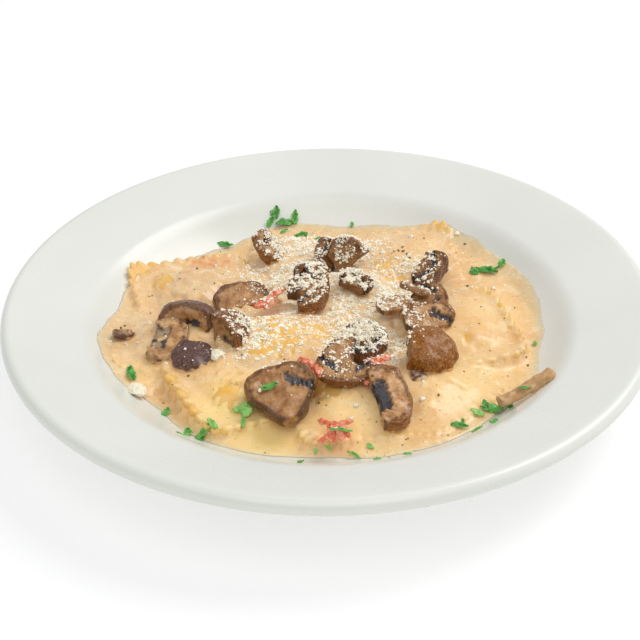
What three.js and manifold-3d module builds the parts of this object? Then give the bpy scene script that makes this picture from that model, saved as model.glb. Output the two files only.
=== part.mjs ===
// A wide-rimmed pasta plate with mushroom ravioli in cream sauce.
// Units are millimetres, +Z is up, and the origin is on the plate's axis at the table.
// Food is laid in the order in which it was plated: the lower ravioli, the upper ravioli, the
// mushrooms, the tomato and the cheese. Each piece is carved by what lies under it, so it rests
// snugly with a small gap, and the sauce then fills the well round all of them.

import * as THREE from 'three';
import { mergeVertices } from 'three/addons/utils/BufferGeometryUtils.js';
import { ParametricGeometry } from 'three/addons/geometries/ParametricGeometry.js';
import Module from 'manifold-3d';

const wasm = await Module();
wasm.setup();

// ---- Driving dimensions -------------------------------------------------------------------

const GAP = 0.3; // clearance between pieces that rest on each other
const ROOM_GAP = 1.3 * GAP; // a little more, as a coarse solid's corners are cut short

// Plate
const PLATE_RADIUS = 150;
const RIM_EDGE_RADIUS = 3.8; // the rolled outer edge
const RIM_EDGE_HEIGHT = 37; // height of the centre of that rolled edge
const WELL_RADIUS = 112.5; // where the rim turns down into the well
const WELL_EDGE_HEIGHT = 30.1;
const FLOOR_RADIUS = 78;
const FLOOR_HEIGHT = 10.5;
const WALL_CURVE = 1.8; // exponent of the wall's rise from the floor
const WELL_EDGE_SOFTNESS = 2.5; // rounding where wall and rim meet
const SHELL_THICKNESS = 7.5; // measured straight down
const FOOT_RADIUS = 77;
const FOOT_WIDTH = 6;
const FOOT_RECESS = 4;
const PLATE_STEPS = 40;

// Ravioli
const RAVIOLO_THICKNESS = 14;
const PILLOW_SHARE = 0.66; // share of the half side that is filled
const BORDER_LIFT = 5.6; // from the belly up to the pressed border round the filling
const BORDER_THICKNESS = 2.8;
const ROOM_SHARE = 1.012; // how much wider than the raviolo its room in the sauce is
const CORNER_SHARPNESS = 6; // exponent of the rounded square
const LOBES_PER_SIDE = 9;
const LOBE_DEPTH = 2.3;
const DRAPE_SOFTNESS = 2; // rounding where a raviolo starts to follow the plate

// Mushrooms: shares of the cap's radius
const CAP_HEIGHT = 0.85;
const STEM_RADIUS = 0.42;
const STEM_LENGTH = 0.95;
const GILL_DEPTH = 0.22;
const MUSHROOM_STEPS = 10;

// Sauce
const SAUCE_LEVEL = 18.8;
const SAUCE_GAP = 3 * GAP; // above the plate, whose flat facets lie a little higher than its curve
const SAUCE_EDGE_THICKNESS = 0.8;
const SAUCE_STEPS = 46;

const COLOUR = {
  glaze: 0xe6e7df,
  sauce: 0xe9c08e,
  pasta: 0xedc377,
  mushroom: 0x8a6344,
  tomato: 0xd9694f,
  cheese: 0xf3ecd6,
};

// ---- Closed bodies and how they are joined and cut ---------------------------------------------

// Only positions, shared vertices and no collapsed triangles, as a closed body needs.
function closedBody(geometry) {
  const bare = geometry.clone();
  bare.deleteAttribute('normal');
  bare.deleteAttribute('uv');
  const merged = mergeVertices(bare, 1e-4);
  const kept = [];
  const index = merged.index.array;
  for (let i = 0; i < index.length; i += 3) {
    const [a, b, c] = [index[i], index[i + 1], index[i + 2]];
    if (a !== b && b !== c && c !== a) kept.push(a, b, c);
  }
  merged.setIndex(kept);
  return merged;
}

// A mesh as a solid in the plate's frame, grown outwards by a clearance.
function solidOf(mesh, clearance = 0) {
  mesh.updateMatrixWorld(true);
  const body = closedBody(mesh.geometry).applyMatrix4(mesh.matrixWorld);
  const position = body.attributes.position;
  if (clearance > 0) {
    body.computeVertexNormals();
    const normal = body.attributes.normal;
    const point = new THREE.Vector3();
    const outwards = new THREE.Vector3();
    for (let i = 0; i < position.count; i++) {
      outwards.fromBufferAttribute(normal, i);
      point.fromBufferAttribute(position, i).addScaledVector(outwards, clearance);
      position.setXYZ(i, point.x, point.y, point.z);
    }
  }
  return new wasm.Manifold(
    new wasm.Mesh({
      numProp: 3,
      vertProperties: Float32Array.from(position.array),
      triVerts: Uint32Array.from(body.index.array),
    }),
  );
}

function geometryOf(solid) {
  const mesh = solid.getMesh();
  const geometry = new THREE.BufferGeometry();
  geometry.setAttribute('position', new THREE.BufferAttribute(mesh.vertProperties, 3));
  geometry.setIndex(new THREE.BufferAttribute(mesh.triVerts, 1));
  return geometry;
}

function largestPart(solid) {
  const parts = solid.decompose();
  return parts.reduce((best, part) => (part.volume() > best.volume() ? part : best));
}

// Takes the room of other pieces out of a mesh and keeps what is left as one body.
function carve(mesh, rooms) {
  const left = rooms.reduce((solid, room) => solid.subtract(room), solidOf(mesh));
  const backToLocal = mesh.matrixWorld.clone().invert();
  mesh.geometry = geometryOf(largestPart(left)).applyMatrix4(backToLocal);
}

function makeMesh(name, geometry, colour, roughness) {
  const material = new THREE.MeshStandardMaterial({ color: colour, roughness, metalness: 0 });
  const mesh = new THREE.Mesh(geometry, material);
  mesh.name = name;
  return mesh;
}

// ---- Plate ---------------------------------------------------------------------------------

const RIM_RUN = PLATE_RADIUS - RIM_EDGE_RADIUS - WELL_RADIUS;
const RIM_SLOPE = (RIM_EDGE_HEIGHT + RIM_EDGE_RADIUS - WELL_EDGE_HEIGHT) / RIM_RUN;

function smoothMin(a, b, softness) {
  const h = Math.max(softness - Math.abs(a - b), 0) / softness;
  return Math.min(a, b) - h * h * softness * 0.25;
}

function smoothMax(a, b, softness) {
  return -smoothMin(-a, -b, softness);
}

// Height of the plate's upper surface at a distance from its axis.
function bowlHeight(radius) {
  if (radius < FLOOR_RADIUS) return FLOOR_HEIGHT;
  const climb = (radius - FLOOR_RADIUS) / (WELL_RADIUS - FLOOR_RADIUS);
  const wall = FLOOR_HEIGHT + (WELL_EDGE_HEIGHT - FLOOR_HEIGHT) * climb ** WALL_CURVE;
  const rim = WELL_EDGE_HEIGHT + RIM_SLOPE * (radius - WELL_RADIUS);
  return smoothMin(wall, rim, WELL_EDGE_SOFTNESS);
}

// Height of its lower surface, outside the foot ring.
function undersideHeight(radius) {
  return bowlHeight(radius + 2.5) - SHELL_THICKNESS;
}

// Where the surface of rim and well has its corners, from the rim inwards.
const WELL_RADII = [116.5, 112.5, 108, 99, 89, 78, 0];

function makePlate() {
  const outline = [
    [0, FOOT_RECESS],
    [FOOT_RADIUS - FOOT_WIDTH - 3, FOOT_RECESS],
    [FOOT_RADIUS - FOOT_WIDTH, 0],
    [FOOT_RADIUS - 1, 0],
    [FOOT_RADIUS, 1],
  ];
  for (const radius of [80, 96, 112, 140]) {
    outline.push([radius, undersideHeight(radius)]);
  }
  const edgeSteps = 4;
  for (let i = 0; i <= edgeSteps; i++) {
    const angle = THREE.MathUtils.degToRad(-75 + (180 * i) / edgeSteps);
    outline.push([
      PLATE_RADIUS - RIM_EDGE_RADIUS + RIM_EDGE_RADIUS * Math.cos(angle),
      RIM_EDGE_HEIGHT + RIM_EDGE_RADIUS * Math.sin(angle),
    ]);
  }
  for (const radius of WELL_RADII) outline.push([radius, bowlHeight(radius)]);
  const profile = outline.map(([radius, height]) => new THREE.Vector2(radius, height));
  const geometry = new THREE.LatheGeometry(profile, PLATE_STEPS).rotateX(Math.PI / 2);
  return makeMesh('plate', closedBody(geometry), COLOUR.glaze, 0.25);
}

// ---- Ravioli ---------------------------------------------------------------------------------

// Each raviolo: centre, length of a side, turn about Z in degrees, height of its belly, and how
// much it rises per millimetre along X and Y. Where it meets the well's wall it drapes up it.
const LOWER_RAVIOLI = [
  { x: -63, y: 29, side: 62, turn: 17, seat: 11.2, riseX: -0.09, riseY: 0.14 },
  { x: -71, y: -8, side: 54, turn: -8, seat: 11.2, riseX: -0.03, riseY: 0 },
  { x: -38.5, y: -42, side: 62, turn: 28, seat: 11.2, riseX: -0.09, riseY: -0.02 },
  { x: 11, y: -55, side: 56, turn: 5, seat: 11.2, riseX: 0, riseY: 0.08 },
  { x: 43, y: -48, side: 54, turn: 41, seat: 11.2, riseX: 0.02, riseY: 0.05 },
  { x: 56.5, y: -4, side: 62, turn: 13, seat: 11.2, riseX: 0.06, riseY: 0.03 },
  { x: 36, y: 58, side: 62, turn: 4, seat: 11.2, riseX: 0.03, riseY: 0.04 },
  { x: -12, y: 63, side: 57, turn: -8, seat: 11.2, riseX: 0, riseY: 0.03 },
];
const UPPER_RAVIOLI = [
  { x: 8, y: 24, side: 62, turn: 21, seat: 14, riseX: 0, riseY: 0 },
  { x: -21, y: -21, side: 62, turn: 2, seat: 19, riseX: 0.02, riseY: 0.02 },
];

// From the belly, round the edge, to the crown: share of the way out to the edge, and height.
const BORDER_TOP = BORDER_LIFT + BORDER_THICKNESS;
const RAVIOLO_STATIONS = [
  { out: 0, up: 0 },
  { out: 1, up: BORDER_LIFT },
  { out: 1, up: BORDER_TOP },
  { out: PILLOW_SHARE, up: BORDER_TOP + 0.3 },
  { out: PILLOW_SHARE * 0.7, up: RAVIOLO_THICKNESS * 0.9 },
  { out: 0, up: RAVIOLO_THICKNESS },
];

const ROOM_STATIONS = [
  { out: 0, up: 0 },
  { out: 1, up: BORDER_LIFT },
  { out: 1, up: 3 * RAVIOLO_THICKNESS },
  { out: 0, up: 3 * RAVIOLO_THICKNESS },
];

// A point of the rounded square round a raviolo, walked once round as step goes from 0 to
// RAVIOLO_STEPS. The pastry wheel has left a crest and a notch for each lobe of the edge.
const STEPS_PER_SIDE = 2 * LOBES_PER_SIDE;
const RAVIOLO_STEPS = 4 * STEPS_PER_SIDE;

function ravioloPoint(piece, step, out) {
  const side = Math.floor(step / STEPS_PER_SIDE);
  const along = (2 * (step % STEPS_PER_SIDE)) / STEPS_PER_SIDE - 1;
  const corner = (1 + Math.abs(along) ** CORNER_SHARPNESS) ** (-1 / CORNER_SHARPNESS);
  const notch = out === 1 && step % 2 === 1 ? LOBE_DEPTH : 0;
  const half = (piece.side / 2) * out - notch;
  const point = new THREE.Vector2(corner, along * corner).multiplyScalar(half);
  const turn = THREE.MathUtils.degToRad(piece.turn + 90 * side);
  return point.rotateAround(new THREE.Vector2(), turn);
}

function makeRaviolo(name, piece) {
  const last = RAVIOLO_STATIONS.length - 1;
  const shape = (u, v, target) => {
    const station = RAVIOLO_STATIONS[Math.round(v * last)];
    const step = Math.round(u * RAVIOLO_STEPS) % RAVIOLO_STEPS;
    const shared = station.out === 1 ? step : step - (step % 2); // the pillow has no notches
    const point = ravioloPoint(piece, shared, station.out);
    const belly = piece.riseX * point.x + piece.riseY * point.y;
    const plate = bowlHeight(Math.hypot(piece.x + point.x, piece.y + point.y)) + 2 * GAP;
    const under = Math.min(station.up, BORDER_LIFT);
    const bottom = smoothMax(belly + under, plate - piece.seat, DRAPE_SOFTNESS);
    target.set(point.x, point.y, bottom + station.up - under);
  };
  const geometry = closedBody(new ParametricGeometry(shape, RAVIOLO_STEPS, last));
  const mesh = makeMesh(name, geometry, COLOUR.pasta, 0.45);
  mesh.position.set(piece.x, piece.y, piece.seat);
  return mesh;
}

// The room that the sauce leaves for a raviolo: its underside, carried straight up all round.
function makeRavioloRoom(piece) {
  const last = ROOM_STATIONS.length - 1;
  const crests = RAVIOLO_STEPS / 2;
  const shape = (u, v, target) => {
    const station = ROOM_STATIONS[Math.round(v * last)];
    const step = 2 * (Math.round(u * crests) % crests);
    const point = ravioloPoint(piece, step, station.out * ROOM_SHARE);
    const belly = piece.riseX * point.x + piece.riseY * point.y;
    target.set(point.x, point.y, belly + station.up - GAP);
  };
  const mesh = new THREE.Mesh(closedBody(new ParametricGeometry(shape, crests, last)));
  mesh.position.set(piece.x, piece.y, piece.seat);
  return mesh;
}

// ---- Mushrooms ---------------------------------------------------------------------------------

// Outline of half a mushroom of cap radius 1, from the stem's end to the crown.
const STEM_OUTLINE = [
  [0, -STEM_LENGTH],
  [STEM_RADIUS, -STEM_LENGTH],
];
const GILL_OUTLINE = [
  [STEM_RADIUS * 1.2, GILL_DEPTH],
  [0.88, -0.06],
];
const CAP_OUTLINE = [
  [1, 0.2],
  [0.78, 0.84 * CAP_HEIGHT],
  [0, CAP_HEIGHT],
];
const MUSHROOM_OUTLINE = [...STEM_OUTLINE, ...GILL_OUTLINE, ...CAP_OUTLINE];
// A young one, whose flesh runs from the stem straight to the cap's rim.
const CLOSED_OUTLINE = [...STEM_OUTLINE, ...CAP_OUTLINE];

// What the knife leaves: the kept span along the mushroom's own X, Y and Z, in cap radii.
const ALL = [-2, 2];
const CUTS = {
  slice: { x: ALL, y: [-0.2, 0.2], z: ALL },
  capSlice: { x: ALL, y: [-0.26, 0.26], z: [-0.12, 2] },
  thickSlice: { x: ALL, y: [-0.32, 0.32], z: [-0.55, 2] },
  quarter: { x: [0, 2], y: [-2, 0], z: [-0.3, 2] },
  cap: { x: ALL, y: ALL, z: [-0.12, 2] },
  trimmedCap: { x: ALL, y: [-2, 0.72], z: [-0.12, 2] },
  closedSlice: { x: ALL, y: [-0.26, 0.26], z: [-0.3, 2], outline: CLOSED_OUTLINE },
  closedQuarter: { x: [0, 2], y: [-2, 0], z: [-0.3, 2], outline: CLOSED_OUTLINE },
};

// Each piece: its cut, its cap radius, the place of its middle, and where its crown (+Z of the
// mushroom) and one cut face (+Y) point. The lowest pieces come first.
const MUSHROOMS = [
  ['closedSlice', 14.5, [-73.5, -16.5, 24], [0.95, -0.2, -0.05], [0.05, -0.2, 0.97]],
  ['closedSlice', 5.5, [-95.5, -7, 23.6], [0.3, -0.9, 0.1], [0.3, -0.1, 0.95]],
  ['trimmedCap', 10.3, [-62.5, -30.5, 24.6], [-0.15, -0.3, 0.94], [0.2, 0.9, 0.3]],
  ['thickSlice', 13, [-66, -1.5, 27], [0.05, 0.33, 0.94], [-0.12, -0.93, 0.34]],
  ['quarter', 18.5, [-40.5, -16, 29], [-0.1, 0.25, 0.96], [-0.6, 0.75, 0.1]],
  ['capSlice', 13.5, [-41.5, 17.5, 27.8], [-0.15, 0.72, 0.62], [0.08, -0.62, 0.78]],
  ['closedSlice', 10, [-30, 62, 28], [-0.72, -0.65, 0.25], [0.3, -0.45, 0.85]],
  ['slice', 15.8, [-20.5, -63.5, 29], [-0.24, 0.9, 0.34], [0, -0.34, 0.94]],
  ['capSlice', 15.5, [26.5, -65, 27.5], [0.93, 0.25, 0.02], [0.1, -0.36, 0.92]],
  ['trimmedCap', 13.2, [46.5, -34.5, 30.8], [0.12, -0.25, 0.96], [-1, 0, 0.1]],
  ['closedSlice', 12.3, [46.5, -4, 28], [-0.1, 0.88, 0.45], [0, -0.45, 0.9]],
  ['closedSlice', 11.5, [51.5, 39, 27], [0.75, -0.5, 0.05], [-0.15, -0.3, 0.94]],
  ['cap', 6.5, [41, -46, 24], [0.3, 0.2, 0.9], [0.8, 0.3, 0.1]],
  ['slice', 9.5, [48, 9.5, 30], [0.95, 0.25, 0.12], [0, -0.2, 0.98]],
  ['closedSlice', 8, [30.5, 4, 30], [-0.2, 0.9, 0.35], [0.1, -0.45, 0.88]],
  ['closedSlice', 9, [-1, 51, 30], [-0.88, -0.2, 0.35], [0.1, -0.6, 0.8]],
  ['closedQuarter', 15, [10.5, 50.5, 33], [0.75, 0.1, 0.65], [-0.3, -0.85, 0.3]],
  ['closedSlice', 7.5, [-9.5, 33.5, 31], [-0.2, 0.6, 0.75], [0.1, -0.75, 0.6]],
  ['closedSlice', 9, [14, 21, 33], [0.5, 0.8, 0.2], [0, -0.3, 0.95]],
  ['thickSlice', 13.5, [-9, 7.5, 37], [0.92, -0.22, 0.08], [-0.1, -0.32, 0.94]],
  ['cap', 11.5, [15.5, -26, 28.6], [0.08, 0.12, -0.98], [0, 1, 0]],
  ['slice', 13, [6.5, -46.5, 33.5], [-0.14, -0.88, -0.42], [-0.02, -0.42, 0.9]],
];

function makeKnifeBox(cut, cap) {
  const spans = [cut.x, cut.y, cut.z];
  const box = new THREE.BoxGeometry(...spans.map(([low, high]) => (high - low) * cap));
  box.translate(...spans.map(([low, high]) => ((high + low) / 2) * cap));
  return new THREE.Mesh(box);
}

// Turns a mesh so that its own Z points along crown and its Y as nearly as it can along face.
function turnTo(mesh, crown, face) {
  const up = new THREE.Vector3(...crown).normalize();
  const front = new THREE.Vector3(...face);
  front.addScaledVector(up, -front.dot(up)).normalize();
  const across = new THREE.Vector3().crossVectors(front, up);
  mesh.quaternion.setFromRotationMatrix(new THREE.Matrix4().makeBasis(across, front, up));
}

function makeMushroom(name, [cut, cap, place, crown, face]) {
  const { outline = MUSHROOM_OUTLINE } = CUTS[cut];
  const profile = outline.map(([radius, height]) => new THREE.Vector2(radius * cap, height * cap));
  const whole = new THREE.LatheGeometry(profile, MUSHROOM_STEPS).rotateX(Math.PI / 2);
  const left = solidOf(new THREE.Mesh(whole)).intersect(solidOf(makeKnifeBox(CUTS[cut], cap)));
  const mesh = makeMesh(name, geometryOf(largestPart(left)).center(), COLOUR.mushroom, 0.4);
  turnTo(mesh, crown, face);
  mesh.position.set(...place);
  return mesh;
}

// ---- Strips: mushroom stalk and skin, and tomato -----------------------------------------------

// A strip's route, its width and its thickness.
const STALKS = [
  { route: [[72, -68, 25.5], [84, -61.5, 27.5], [97, -53, 31]], width: 6, thickness: 4.5 },
  { route: [[35, 16, 34], [41, 10, 34.5], [47, 5.5, 34.5]], width: 4, thickness: 3.5 },
];
const TOMATOES = [
  { route: [[-32, -2, 35], [-28, 2, 36.5], [-24, 8, 37]], width: 6, thickness: 3 },
  { route: [[-13, -45, 33], [-8, -50, 33.5], [-5, -56, 32]], width: 6, thickness: 3 },
  { route: [[29, -41, 31.5], [20, -45, 32], [15, -53, 29]], width: 7, thickness: 3 },
  { route: [[-4, -73, 24], [0, -80, 24.5], [2, -89, 23]], width: 8, thickness: 3 },
];

function makeStrip(name, strip, colour) {
  const route = new THREE.CatmullRomCurve3(strip.route.map((point) => new THREE.Vector3(...point)));
  const section = new THREE.Shape();
  section.ellipse(0, 0, strip.thickness / 2, strip.width / 2, 0, 2 * Math.PI);
  const geometry = new THREE.ExtrudeGeometry(section, {
    extrudePath: route,
    steps: 4,
    curveSegments: 4,
  });
  return makeMesh(name, closedBody(geometry), colour, 0.35);
}

// ---- Cheese -----------------------------------------------------------------------------------

// Chunks shaved off a block: middle, length, width, height, and turn about Z in degrees.
const CHEESES = [
  { at: [-86, -47, 20.5], size: [11, 8, 4], turn: -35 },
  { at: [-50, -30.5, 27], size: [8, 7, 4.5], turn: 20 },
];

function makeCheese(name, chunk) {
  const geometry = closedBody(new THREE.DodecahedronGeometry(0.5));
  geometry.scale(...chunk.size);
  const mesh = makeMesh(name, geometry, COLOUR.cheese, 0.6);
  mesh.position.set(...chunk.at);
  mesh.rotation.z = THREE.MathUtils.degToRad(chunk.turn);
  return mesh;
}

// ---- Sauce ------------------------------------------------------------------------------------

// How far the sauce spreads: direction in degrees and distance from the plate's axis.
const SAUCE_SPREAD = [
  [0, 101.5], [20, 105], [40, 105], [54, 108], [66, 103], [84, 99], [100, 101.5], [122, 96.5],
  [138, 99.5], [156, 106], [168, 102], [188, 108], [203, 103], [214, 92], [230, 96.5], [245, 94],
  [258, 89], [270, 86.5], [282, 92], [300, 97.5], [318, 97.5], [333, 103], [348, 98],
];

// From the middle of the underside, along the plate to the outline, and back over the top:
// share of the way out, and how far the top has come down (or up) to its edge.
const SAUCE_STATIONS = [
  { out: 0, under: true },
  { out: 0.76, under: true },
  { out: 0.88, under: true },
  { out: 1, under: true },
  { out: 1, edge: 1 },
  { out: 0.96, edge: 0.6 },
  { out: 0.9, edge: 0.15 },
  { out: 0.8, edge: 0 },
  { out: 0, edge: 0 },
];

function makeSauce() {
  const outline = new THREE.CatmullRomCurve3(
    SAUCE_SPREAD.map(([degrees, reach]) => {
      const angle = THREE.MathUtils.degToRad(degrees);
      return new THREE.Vector3(reach * Math.cos(angle), reach * Math.sin(angle), 0);
    }),
    true,
  );
  const last = SAUCE_STATIONS.length - 1;
  const shape = (u, v, target) => {
    const station = SAUCE_STATIONS[Math.round(v * last)];
    outline.getPoint(u % 1, target);
    const edgeHeight = bowlHeight(target.length()) + SAUCE_GAP + SAUCE_EDGE_THICKNESS;
    target.multiplyScalar(station.out);
    target.z = station.under
      ? bowlHeight(target.length()) + SAUCE_GAP
      : THREE.MathUtils.lerp(SAUCE_LEVEL, edgeHeight, station.edge);
  };
  let solid = solidOf(new THREE.Mesh(new ParametricGeometry(shape, SAUCE_STEPS, last)));
  for (const piece of [...LOWER_RAVIOLI, ...UPPER_RAVIOLI]) {
    solid = solid.subtract(solidOf(makeRavioloRoom(piece)));
  }
  return makeMesh('sauce', geometryOf(largestPart(solid)), COLOUR.sauce, 0.3);
}

// ---- The whole dish -----------------------------------------------------------------------------

const model = new THREE.Group();

// Adds a piece, carved by the rooms of the pieces below it, and adds its own room to theirs.
function serve(mesh, rooms) {
  const room = solidOf(mesh, ROOM_GAP);
  carve(mesh, rooms);
  rooms.push(room);
  model.add(mesh);
  return room;
}

function numbered(word, index) {
  return `${word}_${String(index + 1).padStart(2, '0')}`;
}

const plate = makePlate();
model.add(plate);

const rooms = [solidOf(plate, ROOM_GAP)];
for (const [i, piece] of [...LOWER_RAVIOLI, ...UPPER_RAVIOLI].entries()) {
  serve(makeRaviolo(numbered('raviolo', i), piece), rooms);
}

const toppings = [
  ...MUSHROOMS.map((piece, i) => makeMushroom(numbered('mushroom', i), piece)),
  ...STALKS.map((strip, i) => makeStrip(numbered('stalk', i), strip, COLOUR.mushroom)),
  ...TOMATOES.map((strip, i) => makeStrip(numbered('tomato', i), strip, COLOUR.tomato)),
  ...CHEESES.map((chunk, i) => makeCheese(numbered('cheese', i), chunk)),
];
serve(
  makeSauce(),
  toppings.map((mesh) => serve(mesh, rooms)),
);

export default model;
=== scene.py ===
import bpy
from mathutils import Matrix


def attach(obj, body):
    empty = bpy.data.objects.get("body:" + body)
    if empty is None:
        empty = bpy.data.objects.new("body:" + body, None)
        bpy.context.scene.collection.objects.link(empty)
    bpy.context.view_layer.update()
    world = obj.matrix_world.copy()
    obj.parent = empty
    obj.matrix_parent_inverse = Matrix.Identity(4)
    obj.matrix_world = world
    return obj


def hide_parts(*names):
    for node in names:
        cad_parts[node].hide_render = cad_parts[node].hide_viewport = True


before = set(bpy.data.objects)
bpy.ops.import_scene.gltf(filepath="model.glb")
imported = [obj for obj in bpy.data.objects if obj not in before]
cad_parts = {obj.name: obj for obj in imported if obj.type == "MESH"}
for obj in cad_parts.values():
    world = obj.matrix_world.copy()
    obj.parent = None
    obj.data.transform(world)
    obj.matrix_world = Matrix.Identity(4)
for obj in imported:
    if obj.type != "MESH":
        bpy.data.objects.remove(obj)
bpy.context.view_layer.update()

import math
from collections import namedtuple
from functools import partial

import bmesh
import bpy
import numpy as np
from mathutils import Matrix, Vector

MM = 0.001  # metres in a millimetre

# ---- Driving dimensions ---------------------------------------------------------------------

PLATE_RADIUS = 150.0
RIM_EDGE_RADIUS = 3.8
RIM_EDGE_HEIGHT = 37.0
WELL_RADIUS = 112.5
WELL_EDGE_HEIGHT = 30.1
FLOOR_RADIUS = 78.0
FLOOR_HEIGHT = 10.5
WALL_CURVE = 1.8
WELL_EDGE_SOFTNESS = 2.5
SHELL_THICKNESS = 7.5
FOOT_RADIUS = 77.0
FOOT_WIDTH = 6.0
FOOT_RECESS = 4.0
RIM_SLOPE = (RIM_EDGE_HEIGHT + RIM_EDGE_RADIUS - WELL_EDGE_HEIGHT) / (
    PLATE_RADIUS - RIM_EDGE_RADIUS - WELL_RADIUS
)

BORDER_LIFT = 5.6  # from the belly up to the pressed border
BORDER_THICKNESS = 2.8
PILLOW_SHARE = 0.66  # share of the half side that is filled
PILLOW_RISE = 5.6  # from the border up to the crown
CORNER_SHARPNESS = 6.0
LOBES_PER_SIDE = 9
LOBE_PITCH = 2 / LOBES_PER_SIDE  # of the half side
LOBE_DEPTH = 2.3

SAUCE_LEVEL = 18.8
FILM = 0.45  # the coat of sauce that stays on the pasta

# ---- Small helpers --------------------------------------------------------------------------


def smooth_min(a, b, softness):
    h = np.maximum(softness - np.abs(a - b), 0) / softness
    return np.minimum(a, b) - h * h * softness / 4


def smooth_max(a, b, softness):
    return -smooth_min(-a, -b, softness)


def ease(low, high, value):
    """0 below low, 1 above high, and a soft step between them."""
    t = np.clip((value - low) / (high - low), 0, 1)
    return t * t * (3 - 2 * t)


def unit(vectors):
    """Vectors drawn in or out to a length of 1."""
    return vectors / np.linalg.norm(vectors, axis=-1, keepdims=True)


def waves(points, size, seed, count=28):
    """A smooth random swell of about -1 to 1, whose bumps are about size apart."""
    draw = np.random.default_rng(seed)
    points = np.asarray(points, float)
    heading = unit(draw.normal(size=(count, points.shape[-1])))
    heading *= (2 * np.pi / size * draw.uniform(0.6, 1.5, count))[:, None]
    swell = np.zeros(points.shape[:-1])
    for way, phase in zip(heading, draw.uniform(0, 2 * np.pi, count)):
        swell += np.sin(points @ way + phase)
    return swell / math.sqrt(count)


def linear(hex_colour):
    """An sRGB colour such as 'e6e7df' as linear red, green, blue and alpha."""
    parts = [int(hex_colour[i : i + 2], 16) / 255 for i in (0, 2, 4)]
    parts = [c / 12.92 if c <= 0.04045 else ((c + 0.055) / 1.055) ** 2.4 for c in parts]
    return (*parts, 1.0)


# The kinds of node that are used more than once.
RAMP = "ShaderNodeValToRGB"
NOISE = "ShaderNodeTexNoise"
GRAINS = "ShaderNodeTexVoronoi"
BUMP = "ShaderNodeBump"
MIX = "ShaderNodeMix"
MATH = "ShaderNodeMath"
VECTOR_MATH = "ShaderNodeVectorMath"
CHANCE = "FunctionNodeRandomValue"
COMBINE = "ShaderNodeCombineXYZ"


def node(tree, kind, inputs=None, stops=None, **settings):
    """Adds a node: its settings, its sockets' values or links, and a ramp's stops, each a place
    and a grey or a colour. A node given as a value is linked by its first output in use."""
    made = tree.nodes.new(kind)
    for name, value in settings.items():
        setattr(made, name, value)
    for name, value in (inputs or {}).items():
        socket = made.inputs[name] if isinstance(name, int) else None
        socket = socket or next(s for s in made.inputs if s.name == name and s.enabled)
        if isinstance(value, bpy.types.Node):
            value = next(s for s in value.outputs if s.enabled)
        if isinstance(value, bpy.types.NodeSocket):
            tree.links.new(value, socket)
        else:
            socket.default_value = value
    if stops:
        ramp = made.color_ramp
        while len(ramp.elements) < len(stops):
            ramp.elements.new(0.5)
        for element, (place, tone) in zip(ramp.elements, stops):
            element.position = place
            element.color = linear(tone) if isinstance(tone, str) else (tone, tone, tone, 1)
    return made


def show(thing):
    """Puts an object in the scene."""
    bpy.context.scene.collection.objects.link(thing)


def make_mesh(name, points, faces, material):
    mesh = bpy.data.meshes.new(name)
    mesh.from_pydata((np.asarray(points) * MM).tolist(), [], faces)
    mesh.update()
    mesh.shade_smooth()
    mesh.materials.append(material)
    made = bpy.data.objects.new(name, mesh)
    show(made)
    return made


def read_out(things, what):
    flat = np.empty(len(things) * 3, np.float32)
    things.foreach_get(what, flat)
    return flat.reshape(-1, 3).astype(float)


def positions(thing):
    return read_out(thing.data.vertices, "co") / MM


def set_positions(thing, points):
    thing.data.vertices.foreach_set("co", (points * MM).astype(np.float32).ravel())
    thing.data.update()


def mark(thing, **layers):
    """Stores numbers or vectors for the points of a mesh, for its material to read."""
    for name, values in layers.items():
        values = np.asarray(values, np.float32)
        if values.ndim == 2:
            layer = thing.data.attributes.new(name, "FLOAT_VECTOR", "POINT")
            layer.data.foreach_set("vector", values.ravel())
        else:
            layer = thing.data.attributes.new(name, "FLOAT", "POINT")
            values = np.broadcast_to(values, len(thing.data.vertices))
            layer.data.foreach_set("value", np.ascontiguousarray(values))


def turning(degrees):
    """What rows of coordinates are multiplied by to turn them about the Z axis."""
    c, s = math.cos(math.radians(degrees)), math.sin(math.radians(degrees))
    return np.array([[c, s, 0], [-s, c, 0], [0, 0, 1]])


def full_turn(steps):
    """Angles in even steps all the way round."""
    return np.linspace(0, 2 * np.pi, steps, endpoint=False)


def compass(angles):
    """One step in each direction, as X and Y."""
    return np.stack([np.cos(angles), np.sin(angles)], -1)


def weave(rows, columns):
    """Four-cornered faces between the points of a grid that are stored row by row."""
    index = np.arange(rows * columns).reshape(rows, columns)
    faces = np.stack([index[:-1, :-1], index[1:, :-1], index[1:, 1:], index[:-1, 1:]], -1)
    return faces.reshape(-1, 4)


def together(parts):
    """Points and faces of several meshes as those of one."""
    points, faces, count = [], [], 0
    for some, some_faces in parts:
        points.append(some)
        faces += [[count + int(corner) for corner in face] for face in some_faces]
        count += len(some)
    return np.concatenate(points), faces


def wrap(rings):
    """Points and faces of a closed skin over rings, whose two end rings are drawn to a point."""
    count, steps, _ = rings.shape
    body = rings[1:-1]
    points = np.vstack([rings[:1].mean(1), body.reshape(-1, 3), rings[-1:].mean(1)])
    index = 1 + np.arange((count - 2) * steps).reshape(count - 2, steps)
    after = np.roll(index, -1, axis=1)
    quads = np.stack([index[:-1], after[:-1], after[1:], index[1:]], -1).reshape(-1, 4)
    last = len(points) - 1
    faces = quads.tolist()
    faces += [[0, int(b), int(a)] for a, b in zip(index[0], after[0])]
    faces += [[last, int(a), int(b)] for a, b in zip(index[-1], after[-1])]
    return points, faces


def finished(thing):
    """The object's mesh as its modifiers leave it, with the modifiers gone."""
    depsgraph = bpy.context.evaluated_depsgraph_get()
    mesh = bpy.data.meshes.new_from_object(thing.evaluated_get(depsgraph), depsgraph=depsgraph)
    thing.modifiers.clear()
    thing.data = mesh
    return thing


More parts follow.
